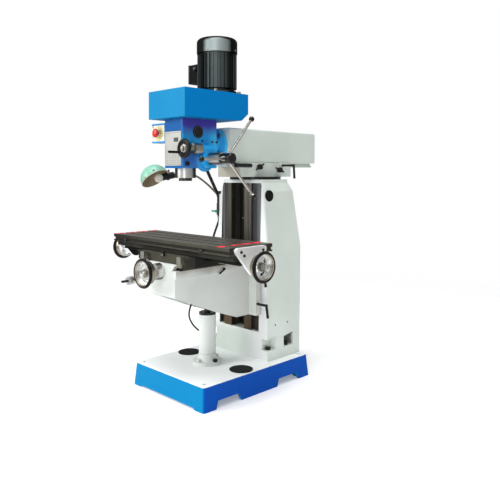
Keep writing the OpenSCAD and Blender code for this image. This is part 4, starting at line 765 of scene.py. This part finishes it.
@finish
def dial_chrome(f):
    """Satin dial with even marks near its front edge and a painted dark reflection where it is seen
    at a slant.
    """
    coat = metal(f, hue("dcdbd5"), 0.24, (500, 60, 60), 0.000006)
    feed = f.ticks(0, PINION_AXIS, 60) * f.between(f.x, 0.166, 0.175, 0.0002)
    cross = f.ticks(1, CROSS_AXIS, 50) * f.between(f.y, -0.3925, -0.385, 0.0002)
    coat = f.rim_dark(coat, 0.34, 0.62, 0.08)
    return f.done(f.over(feed.larger(cross), coat, (MARK_INK, 0.5, 0.2, coat[3])), 0.0006)


@finish
def shade_enamel(f):
    """Green outside and pale inside, with dark vents."""
    outside = paint(f, hue("80b8a0"), 0.3, 0.00003)
    inside = paint(f, hue("b6a68c"), 0.5, 0.00003)
    coat = f.over(f.ramp(f.away(SHADE_MIDDLE), 0.0688, 0.0692), inside, outside)
    for vent in ((-314.5, -217.1, 936.3), (-265, -171.2, 945.5), (-288.4, -187.7, 972.9)):
        coat = f.over(f.below(f.away(vent), 0.0052, 0.0056), coat, paint(f, hue("1c2b26")))
    return f.done(coat, 0.0004, 0.3)


@finish
def lamp_glass(f):
    """Frosted bulb in a black socket."""
    bulb = NECK_END + (SHADE_MIDDLE - NECK_END).normalized() * 82
    socket = plastic(f, hue("1b1a18"), 0.3)
    milk = f.mix(f.noise(60, 2.0), hue("f3efe2"), hue("e6e0cf"))
    glass = (milk, 0.12, 0.0, f.noise(500, 1.0) * 0.000005)
    return f.done(f.over(f.below(f.away(bulb), 0.0221, 0.0223), socket, glass))


@finish
def spec_plate_finish(f):
    """Satin plate with a bare printed frame and empty ruled fields."""
    plate = metal(f, hue("adaea9"), 0.4, (300, 12, 12), 0.00001, 0.92)
    across = abs(f.x) * 1000
    up = f.z * 1000 - 1065
    upright = f.between(across, 50.5, 51.6, 0.1) * f.below(abs(up), 68.4, 68.6)
    level = f.between(abs(up), 67.5, 68.6, 0.1) * f.below(across, 51.4, 51.6)
    rows = f.between(abs((up * 0.1).sum("PINGPONG", up * 0.1, 0.5)), 0.0, 0.04, 0.01)
    columns = f.between(abs((f.x * 50).sum("PINGPONG", f.x * 50, 0.5)), 0.0, 0.025, 0.006)
    field = f.below(across, 47.9, 48.1) * f.between(up, -64, -12, 0.1)
    ruled = rows.larger(columns) * field
    drawing = f.between(f.x, 0.006, 0.038, 0.0003) * f.between(f.z, 1.094, 1.112, 0.0003)
    ink = (upright.larger(level) + ruled * 0.7 + drawing).smaller(1.0)
    return f.done(f.over(ink, plate, (hue("4a4d4c"), 0.5, 0.0, plate[3])), 0.0006)


@finish
def badge_black(f):
    """Glossy black disc with one thin bright ring."""
    ring = f.away(BADGE_AXIS, 0)
    coat = plastic(f, hue("0d0d0e"), 0.2)
    bright = metal(f, hue("77756c"), 0.3)
    return f.done(f.over(f.between(ring, 0.0222, 0.0232, 0.0002), coat, bright), 0.0006, 0.3)


@finish
def estop_finish(f):
    """Blue box with a pale yellow face plate."""
    faces = f.faces()
    box = paint(f, hue("2a95d6"), 0.35, 0.00004)
    plate = plastic(f, hue("e8dfa0"), 0.4)
    rim = plastic(f, hue("f2efe2"), 0.4)
    ring = f.away(STOP_AXIS, 1)
    face = f.below(faces[1], -0.9, -0.5)
    coat = f.over(f.below(ring, 0.0335, 0.034), rim, plate)
    tall = f.between(f.z, 1.1005, 1.1715, 0.0002)
    middle = tall * f.below(f.y, -0.252, -0.251)
    return f.done(f.over((face * tall).larger(middle), box, coat), 0.001, 0.2)


@finish
def feed_hub_finish(f):
    """Black hub with one bright metal band that stands for a painted highlight, darkened by a
    painted reflection at a slant.
    """
    coat = plastic(f, hue("111212"), 0.24)
    painted_highlight_band = metal(f, hue("f0eee8"), 0.2, (600, 30, 30))
    painted_highlight_band = f.rim_dark(painted_highlight_band, 0.3, 0.42, 0.03)
    return f.done(f.over(f.between(f.x, 0.196, 0.216, 0.0002), coat, painted_highlight_band), 0.0008, 0.2)


@finish
def feed_lever_finish(f):
    """Bright rods that end in black balls."""
    ring = f.away(PINION_AXIS, 0)
    rod = metal(f, hue("cfccc4"), 0.14, (30, 30, 30), 0.000004, 0.85)
    ball = plastic(f, hue("0e0f0f"), 0.12)
    return f.done(f.over(f.ramp(ring, 0.1795, 0.180), rod, ball), 0.0, 0.2)


@finish
def fine_wheel_finish(f):
    """Black wheel with a bright middle and a black handle."""
    ring = f.away(FINE_FEED_AXIS, 1)
    rim = plastic(f, hue("141614"), 0.3)
    middle = metal(f, hue("b9b9b2"), 0.2, (60, 900, 60))
    hub = metal(f, hue("6a675c"), 0.3, (60, 900, 60))
    coat = f.over(f.between(ring, 0.0118, 0.0178, 0.0002), rim, middle)
    return f.done(f.over(f.below(ring, 0.0092, 0.0096), coat, hub), 0.0008, shine=0.2)


@finish
def tap_green(f):
    return f.done(plastic(f, hue("2f9c78"), 0.3), 0.001, 0.3)


NODE_FINISHES = {
    "base": base_paint,
    "base_hole_covers": black_rubber,
    "column": column_paint,
    "column_cap": black_rubber,
    "base_bolts": bolt_paint,
    "elevation_tube": machine_white,
    "elevation_nut": black_paint,
    "swivel_plate": black_paint,
    "side_bracket": dark_steel,
    "tap_lever": tap_green,
    "coolant_pipe": black_paint,
    "coolant_hose": hose_rubber,
    "knee_hose": hose_rubber,
    "lamp_arm": dark_steel,
    "lamp_shade": shade_enamel,
    "lamp_bulb": lamp_glass,
    "turret": turret_paint,
    "ram_clamp_front": black_paint,
    "ram_clamp_rear": black_paint,
    "turret_lever": black_paint,
    "ram_lever": black_paint,
    "ram": column_paint,
    "ram_gib": dark_steel,
    "head_casting": head_blue,
    "tilt_bolts": steel,
    "quill_lock": black_paint,
    "belt_cover": cover_blue,
    "drive_belt": black_rubber,
    "motor_body": motor_black,
    "motor_cowl": motor_black,
    "terminal_box": motor_black,
    "motor_shaft": steel,
    "motor_pulley": aluminium,
    "spindle_pulley": aluminium,
    "quill": quill_chrome,
    "spindle": spindle_steel,
    "pinion_shaft": steel,
    "feed_dial": dial_chrome,
    "feed_hub": feed_hub_finish,
    "feed_levers": feed_lever_finish,
    "fine_feed_wheel": fine_wheel_finish,
    "fine_feed_worm": turned_steel,
    "worm_wheel": bronze,
    "spec_plate": spec_plate_finish,
    "head_badge": badge_black,
    "estop_box": estop_finish,
    "estop_button": red_plastic,
    "knee": knee_white,
    "knee_clamp_upper": black_paint,
    "knee_clamp_lower": black_paint,
    "elevation_screw": dark_steel,
    "elevation_crank": crank_steel,
    "saddle": saddle_grey,
    "saddle_lock_left": lock_plate,
    "saddle_lock_right": lock_plate,
    "cross_screw": dial_chrome,
    "cross_wheel": cross_wheel_chrome,
    "table": table_iron,
    "table_screw": steel,
    "table_wheels": table_wheel_chrome,
}


def dress_nodes():
    """Gives every solid its finish."""
    for name, make in NODE_FINISHES.items():
        mesh = nodes[name].data
        mesh.materials.clear()
        mesh.materials.append(make())


dress_nodes()


# ---------------------------------------------------------------- modelling
# Degrees between faces, from which an edge is drawn sharp or rounded off
SHARP_ANGLE = 38
SOFTENED_ANGLE = 35


def facing(place, way):
    """The turn and move that take something upright to a place and a way."""
    turn = Vector(way).to_track_quat("Z", "Y").to_matrix().to_4x4()
    return Matrix.Translation(Vector(place)) @ turn


class Shape:
    """A mesh in the making, with places and sizes in millimetres."""

    def __init__(self):
        self.bm = bmesh.new()

    def box(self, low, high, round_by=0.0):
        """A block between two corners."""
        low, high = Vector(low), Vector(high)
        made = bmesh.ops.create_cube(self.bm, size=1)["verts"]
        bmesh.ops.scale(self.bm, vec=high - low, verts=made)
        bmesh.ops.translate(self.bm, vec=(low + high) / 2, verts=made)
        if round_by:
            self.bevel(list({e for v in made for e in v.link_edges}), round_by, 3)
        return self

    def bevel(self, edges, by, steps):
        bmesh.ops.bevel(
            self.bm, geom=edges, offset=by, offset_type="OFFSET", segments=steps, profile=0.5,
            affect="EDGES", material=-1, clamp_overlap=True,
        )

    def rod(self, start, end, radius, end_radius=None, sides=32):
        """A round, tapered or six-sided bar between two places."""
        start, end = Vector(start), Vector(end)
        way = end - start
        place = facing((start + end) / 2, way)
        bmesh.ops.create_cone(
            self.bm, cap_ends=True, segments=sides, radius1=radius,
            radius2=radius if end_radius is None else end_radius, depth=way.length, matrix=place,
        )
        return self

    def ball(self, centre, radius):
        place = Matrix.Translation(Vector(centre))
        bmesh.ops.create_uvsphere(
            self.bm, u_segments=24, v_segments=12, radius=radius, matrix=place
        )
        return self

    def turned(self, outline, start, way, sides=48, closed=False):
        """Turns an outline of (radius, height) points about the axis from start along way."""
        verts = [self.bm.verts.new((radius, 0, height)) for radius, height in outline]
        edges = [self.bm.edges.new(pair) for pair in zip(verts, verts[1:])]
        if closed:
            edges.append(self.bm.edges.new((verts[-1], verts[0])))
        before = set(self.bm.verts) - set(verts)
        bmesh.ops.spin(
            self.bm, geom=verts + edges, cent=(0, 0, 0), axis=(0, 0, 1), angle=math.tau,
            steps=sides, use_merge=True, use_duplicate=False,
        )
        made = [v for v in self.bm.verts if v not in before]
        bmesh.ops.remove_doubles(self.bm, verts=made, dist=0.001)
        made = [v for v in self.bm.verts if v not in before]
        bmesh.ops.transform(self.bm, matrix=facing(start, way), verts=made)
        return self

    def hex_bolt(self, start, way, across, high, washer=0.0):
        """A hexagon head with its chamfer, on an optional washer."""
        start, way = Vector(start), Vector(way).normalized()
        if washer:
            self.rod(start, start + way * washer, across * 0.72, sides=28)
            start = start + way * washer
        chamfer = start + way * high * 0.8
        self.rod(start, chamfer, across / 2 / math.cos(math.pi / 6), sides=6)
        self.rod(chamfer, start + way * high, across * 0.56, across * 0.46, sides=24)
        return self

    def cap_screw(self, start, way, diameter, high):
        """A socket head cap screw with an open hexagon socket."""
        r = diameter / 2
        outline = [
            (0, high * 0.45), (r * 0.52, high * 0.45), (r * 0.52, high), (r * 0.88, high),
            (r, high * 0.88), (r, 0), (0, 0),
        ]
        return self.turned(outline, start, way, 24)

    def soften(self, by):
        """Rounds every edge sharper than an angle."""
        self.bm.normal_update()
        limit = math.radians(SOFTENED_ANGLE)
        closed = [e for e in self.bm.edges if len(e.link_faces) == 2]
        self.bevel([e for e in closed if e.calc_face_angle(0) > limit], by, 2)
        return self

    def ring(self, centre, way, inner, outer, thick, sides=48):
        """A flat ring that starts at a place and is as thick as told along its way."""
        outline = [(inner, 0), (outer, 0), (outer, thick), (inner, thick)]
        return self.turned(outline, centre, way, sides, closed=True)

    def bead(self, centre, way, reach, thick, sides=64):
        """A round ring about an axis."""
        corners = [math.tau * k / 8 for k in range(8)]
        outline = [(reach + thick * math.cos(a), thick * math.sin(a)) for a in corners]
        return self.turned(outline, centre, way, sides, closed=True)

    def piece(self, name, body, material, slot, replaces=()):
        """Turns the mesh into a piece that rides on a body."""
        bmesh.ops.recalc_face_normals(self.bm, faces=self.bm.faces)
        bmesh.ops.scale(self.bm, vec=(0.001,) * 3, verts=self.bm.verts)
        mesh = bpy.data.meshes.new(name)
        self.bm.to_mesh(mesh)
        self.bm.free()
        for polygon in mesh.polygons:
            polygon.use_smooth = True
        mesh.set_sharp_from_angle(angle=math.radians(SHARP_ANGLE))
        mesh.materials.append(material)
        made = bpy.data.objects.new(name, mesh)
        scene.collection.objects.link(made)
        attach(made, body)
        if replaces:
            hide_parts(*replaces)
        return made


# ---------------------------------------------------------------- hose fittings and the lamp
coolant_hose_tube.data.materials.append(hose_rubber())
knee_hose_tube.data.materials.append(hose_rubber())


def add_hose_fittings():
    """Clips on the coolant hose and union nuts at both ends of the knee hose."""
    for name, x, y, z in (("upper", -195, 146, 733), ("lower", -222, 100, 114)):
        clip = Shape().ring((x, y, z), UP, 5.7, 6.9, 7, 32)
        clip.box((x + 5.6, y - 3.5, z + 0.4), (x + 12, y + 3.5, z + 6.6), 1.0)
        clip.rod((x + 11, y, z + 3.5), (x + 14, y, z + 3.5), 2.4, sides=16)
        clip.piece(f"coolant_hose_clip_{name}", "stand", steel(), "steel")
    for name, body, x, y, hexagon_z, collar_z in (
        ("upper", "knee_body", -50, -140, 399, 396),
        ("lower", "stand", -52, -42, 112.2, 121.2),
    ):
        nut = Shape().ring((x, y, hexagon_z), UP, 4.1, 7.6, 9, 6)
        nut.ring((x, y, collar_z), UP, 4.1, 5.6, 3, 24).soften(0.6)
        nut.piece(f"knee_hose_{name}_nut", body, turned_steel(), "bright_steel")


def add_gooseneck():
    """The lamp's wound metal neck, with its foot and the black sleeve at the lamp."""
    coarse = smooth_route(GOOSENECK_ROUTE, 24)
    swell = [(0.86, 1.0, 1.0, 0.86)[i % 4] for i in range(len(coarse))]
    neck = tube_curve("lamp_gooseneck", coarse, 0.0054, swell)
    neck.data.materials.append(neck_steel())
    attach(neck, "lamp_neck")
    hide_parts("lamp_arm")
    sleeve_points = 44
    sleeve = tube_curve("lamp_neck_sleeve", coarse[-sleeve_points:], 0.0076)
    sleeve.data.materials.append(black_plastic())
    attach(sleeve, "lamp_neck")
    outline = [
        (0, 0), (13, 0), (13, 4.5), (12.2, 5.5), (10.5, 6), (10.5, 12),
        (9.6, 13.2), (7.6, 14), (7.6, 20), (6.6, 21), (0, 21),
    ]
    foot = Shape().turned(outline, (-195, 170, 798.6), UP, 32)
    foot.piece("lamp_foot", "lamp_neck", black_plastic(), "black_plastic")


def add_shade_trim():
    """The rolled rim of the shade, its collar at the socket and the knob on the socket."""
    mouth = Vector((0.594, 0.127, -0.794))
    rim = Shape().bead(SHADE_MIDDLE - mouth * 0.2, mouth, 69.0, 1.7)
    rim.piece("lamp_shade_rim", "lamp_head", rim_enamel(), "green_paint")
    reach = (SHADE_MIDDLE - NECK_END).normalized()
    seat = NECK_END + reach * 30
    collar = Shape().ring(seat, reach, 17.1, 21, 6, 40)
    collar.ring(seat + reach * 6, reach, 17.1, 19, 4, 40).soften(0.8)
    collar.piece("lamp_collar", "lamp_head", black_plastic(), "black_plastic")
    side = Vector((-0.2, -0.35, 0.91)).normalized()
    socket = NECK_END + reach * 16
    knob = Shape().rod(socket + side * 15, socket + side * 24, 3)
    knob.rod(socket + side * 24, socket + side * 31, 6, 5).soften(0.8)
    knob.piece("lamp_switch_knob", "lamp_head", black_plastic(), "black_plastic")


# ---------------------------------------------------------------- head, cover and motor
def level_way(turn):
    """A way in the level plane, by its degrees from the right."""
    return Vector((math.cos(math.radians(turn)), math.sin(math.radians(turn)), 0))


def add_motor_details():
    """Grille and screws of the fan cowl, lid of the terminal box and bolts of the foot plate."""
    top = COWL_Z + 69
    middle = Vector((0, MOTOR_Y, top + 0.4))
    grille = Shape()
    for reach in (16, 30, 44, 58):
        grille.bead(middle, UP, reach, 1.3)
    for turn in (0, 90, 180, 270):
        way = level_way(turn)
        grille.rod(middle + way * 14, middle + way * 62, 1.5, sides=12)
    grille.piece("cowl_grille", "head", motor_black(), "black_paint")
    screws = Shape()
    for turn in (20, 110, 200, 290):
        way = level_way(turn)
        screws.cap_screw(Vector((0, MOTOR_Y, COWL_Z + 9)) + way * 92.8, way, 8, 3.4)
    screws.piece("cowl_screws", "head", steel(), "steel")
    outline = [(70, 0), (91, 0), (91, 7), (88, 10), (82, 12), (70, 12)]
    shield = Shape().turned(outline, (0, MOTOR_Y, MOTOR_Z), UP, 72, closed=True)
    shield.piece("motor_end_shield", "head", motor_black(), "black_paint")
    bolts = Shape()
    for x in (-70, 70):
        for y in (-110, 34):
            bolts.hex_bolt((x, y, MOTOR_Z), UP, 15, 8, 2)
    bolts.piece("motor_plate_bolts", "head", steel(), "steel")
    lid = Shape().box((-154, -86, 1379.5), (-145.9, 8, 1470.5), 3.9)
    lid.piece("terminal_lid", "head", motor_black(), "black_paint")
    lid_screws = Shape()
    for y in (-77, -1):
        for z in (1389, 1461):
            lid_screws.cap_screw((-153.9, y, z), LEFT, 6, 2.6)
    lid_screws.piece("terminal_lid_screws", "head", steel(), "steel")
    gland = Shape()
    for wall, nut, end in (
        ((-115, -39, 1382), (-115, -39, 1374), (-115, -39, 1364)),
        ((-98, -83.8, 1446), (-98, -92, 1446), (-98, -99, 1446)),
    ):
        gland.rod(wall, nut, 12, sides=6).rod(nut, end, 9, 7.5, sides=28)
    gland.soften(0.8).piece("terminal_gland", "head", black_plastic(), "black_plastic")


def add_head_details():
    """Cast fillets, screws, plate rivets and the mushroom of the emergency stop."""
    fillet = [(42.2, 14), (42.4, 9), (44, 5), (48, 2), (54, 0.4), (56, 0), (42.2, 0)]
    pinion = Vector(PINION_AXIS)
    foot = Shape().turned(fillet, pinion + Vector((64, 0, 0)), RIGHT, 64, closed=True)
    foot.piece("feed_housing_fillet", "head", head_blue(), "head_blue")
    screws = Shape()
    for y, z in ((-184, 1100), (-125, 1097), (-100, 1097)):
        screws.cap_screw((64, y, z), RIGHT, 9, 3.2)
    screws.piece("head_side_screws", "head", dark_steel(), "dark_steel")
    rivets = Shape()
    for x in (-53, 53):
        for z in (995, 1135):
            seat = (x, HEAD_FRONT - 1, z)
            rivets.turned([(2.4, 0), (2.2, 0.8), (1.3, 1.4), (0, 1.6)], seat, FORWARD, 16)
    rivets.piece("spec_plate_rivets", "head", steel(), "steel")
    stop = Vector(STOP_AXIS) + Vector((0, HEAD_FRONT, 0))
    collar = Shape().ring(stop, FORWARD, 11, 16, 5, 40).soften(1.0)
    collar.piece("stop_collar", "head", grey_plastic(), "black_plastic")
    outline = [
        (0, 0), (10, 0), (10, 9), (17.5, 10), (19.4, 11.4), (20, 13.4),
        (19.4, 16), (16.5, 18.8), (11, 20.6), (0, 21.4),
    ]
    button = Shape().turned(outline, stop - Vector((0, 0.6, 0)), FORWARD)
    button.piece("stop_mushroom", "stop_button", red_plastic(), "red_plastic", ["estop_button"])
    outline = [(21.5, 0), (20, 3), (14, 5.2), (6, 6), (0, 6.2)]
    cap = Shape().turned(outline, pinion + Vector((240, 0, 0)), RIGHT, 40)
    cap.piece("feed_hub_cap", "feed", black_plastic(), "black_plastic")
    acorn = Shape().rod((90, -312, 1062.75), (90, -318, 1062.75), 8.4, sides=6)
    acorn.ball((90, -317, 1062.75), 6.4)
    acorn.piece("fine_wheel_nut", "fine_feed", steel(), "steel")


# ---------------------------------------------------------------- column, knee and table
def add_column_details():
    """Screws of the column, the foot of the elevation tube and the rear cover of the ram."""
    side = Shape()
    for y in (153, 237):
        side.cap_screw((187.6, y, 258), RIGHT, 7, 1.8)
    side.piece("column_side_screws", "stand", dark_steel(), "dark_steel")
    groove = Shape().cap_screw((-20, 149, 742), FORWARD, 9, 4)
    groove.piece("column_groove_screw", "stand", steel(), "steel")
    outline = [(38.6, 34), (39.4, 24), (41.5, 14), (45, 6), (49.5, 1.2), (52, 0), (38.6, 0)]
    seat = Vector(ELEVATION_AXIS) + Vector((0, 0, 114))
    foot = Shape().turned(outline, seat, UP, 64, closed=True)
    foot.piece("tube_foot_fillet", "stand", machine_white(), "machine_white")
    cover = Shape().box((-62, 588.5, 1019), (62, 592.5, 1157), 1.5)
    cover.piece("ram_rear_cover", "ram_body", machine_white(), "machine_white")
    screws = Shape()
    for x in (-54, 54):
        for z in (1028, 1148):
            screws.cap_screw((x, 592.5, z), BACK, 8, 3)
    screws.piece("ram_rear_screws", "ram_body", dark_steel(), "dark_steel")


def add_table_details():
    """Bolts of the end brackets, table stops, the centre stop and the nuts of the handwheels."""
    bolts = Shape()
    for side, out in ((1, 414), (-1, -414)):
        for y, z in ((-286, 656), (-270, 641), (-165, 655)):
            bolts.cap_screw((out, y, z), (side, 0, 0), 11, 4)
    bolts.piece("bracket_bolts", "table_body", dark_steel(), "dark_steel")
    stops = Shape()
    for x in (-300, 236):
        stops.box((x - 9, -339.5, 640), (x + 9, -335.2, 655), 1.2)
        stops.cap_screw((x, -339.5, 647), FORWARD, 8, 3)
    stops.piece("table_stops", "table_body", dark_steel(), "dark_steel")
    centre = Shape().box((-18, -345, 606), (0, -335.4, 617), 1.2)
    centre.box((-15, -344, 615), (-3, -336, 628), 1.2)
    centre.piece("saddle_centre_stop", "saddle_body", black_paint(), "black_paint")
    pins = Shape()
    for x in (-14, -4):
        pins.cap_screw((x, -345, 611), FORWARD, 6, 2.4)
    pins.turned([(4, 0), (4, 0.4), (2.6, 0.8), (0, 1)], (-14, -344.5, 571), FORWARD, 20)
    for x in (-84, 84):
        pins.turned([(4, 0), (4, 0.5), (3.4, 0.9), (0, 0.9)], (x, -344.6, 564), FORWARD, 20)
    pins.piece("saddle_front_screws", "saddle_body", steel(), "steel")
    wheel_nut(Vector(CROSS_AXIS) + Vector((0, -441, 0)), FORWARD, "cross_wheel_nut", "cross_feed")
    pin = Shape().rod((109.8, -99, 537), (119, -99, 537), 5, sides=24)
    pin.rod((118, -96, 538.5), (118, -128, 521), 3.6, sides=24).ball((118, -128, 521), 4.6)
    pin.piece("knee_gib_pin", "knee_body", black_paint(), "black_paint")
    low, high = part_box("table_wheels")
    for end, way, name in ((high, RIGHT, "right_wheel_nut"), (low, LEFT, "left_wheel_nut")):
        wheel_nut(Vector(TABLE_SCREW_AXIS) + Vector((end[0] * 1000, 0, 0)), way, name, "long_feed")


def wheel_nut(seat, way, name, body):
    """A domed nut on a washer at the hub of a handwheel."""
    way = Vector(way)
    nut = Shape().rod(seat, seat + way * 1.6, 11, sides=32)
    nut.rod(seat + way * 1.6, seat + way * 6, 8, sides=6)
    nut.turned([(6.6, 0), (6, 2.2), (4, 3.8), (0, 4.4)], seat + way * 6, way, 24)
    nut.piece(name, body, steel(), "steel")


add_hose_fittings()
add_gooseneck()
add_shade_trim()
add_motor_details()
add_head_details()
add_column_details()
add_table_details()


# ---------------------------------------------------------------- light and floor
def add_light(name, place, aim, size, watts, tall=None):
    """A flat light of a size, as tall as it is wide unless told, that faces its aim."""
    light = bpy.data.lights.new(name, "AREA")
    light.shape = "RECTANGLE"
    light.size = size
    light.size_y = tall or size
    light.energy = watts
    made = bpy.data.objects.new(name, light)
    made.location = place
    made.rotation_euler = (Vector(aim) - Vector(place)).to_track_quat("-Z", "Y").to_euler()
    scene.collection.objects.link(made)


def set_studio():
    """Soft lights at the front left and above, a tall narrow one, and white all round."""
    add_light("key_light", (-2.6, -4.4, 2.6), (0, 0, 0.8), 3.0, 190)
    add_light("top_light", (0.2, -0.8, 4.2), (0, 0, 0), 3.0, 160)
    add_light("strip_light", (1.6, -2.3, 1.5), (0, -0.15, 0.95), 0.4, 13, 1.7)
    world = bpy.data.worlds.new("studio")
    scene.world = world
    world.use_nodes = True
    tree = world.node_tree
    shader = tree.nodes["Background"]
    path = tree.nodes.new("ShaderNodeLightPath")
    strength = tree.nodes.new("ShaderNodeMapRange")
    strength.inputs["To Min"].default_value = 0.36
    strength.inputs["To Max"].default_value = 1.0
    tree.links.new(path.outputs["Is Camera Ray"], strength.inputs["Value"])
    tree.links.new(strength.outputs[0], shader.inputs["Strength"])
    shader.inputs["Color"].default_value = (1, 1, 1, 1)

    sheet = bmesh.new()
    bmesh.ops.create_circle(sheet, cap_ends=True, segments=64, radius=5)
    mesh = bpy.data.meshes.new("floor")
    sheet.to_mesh(mesh)
    sheet.free()
    floor = bpy.data.objects.new("floor", mesh)
    scene.collection.objects.link(floor)
    pale = Finish("floor_white")
    pale.feed(pale.shader.inputs, {
        "Alpha": pale.below(pale.away((0, 0, 0), 2), 1.0, 3.6),
        "Base Color": (0.9, 0.9, 0.9, 1),
        "Roughness": 0.9,
        "Specular IOR Level": 0.1,
        "Emission Color": (1, 1, 1, 1),
        "Emission Strength": 0.25,
    })
    mesh.materials.append(pale.material)


set_studio()
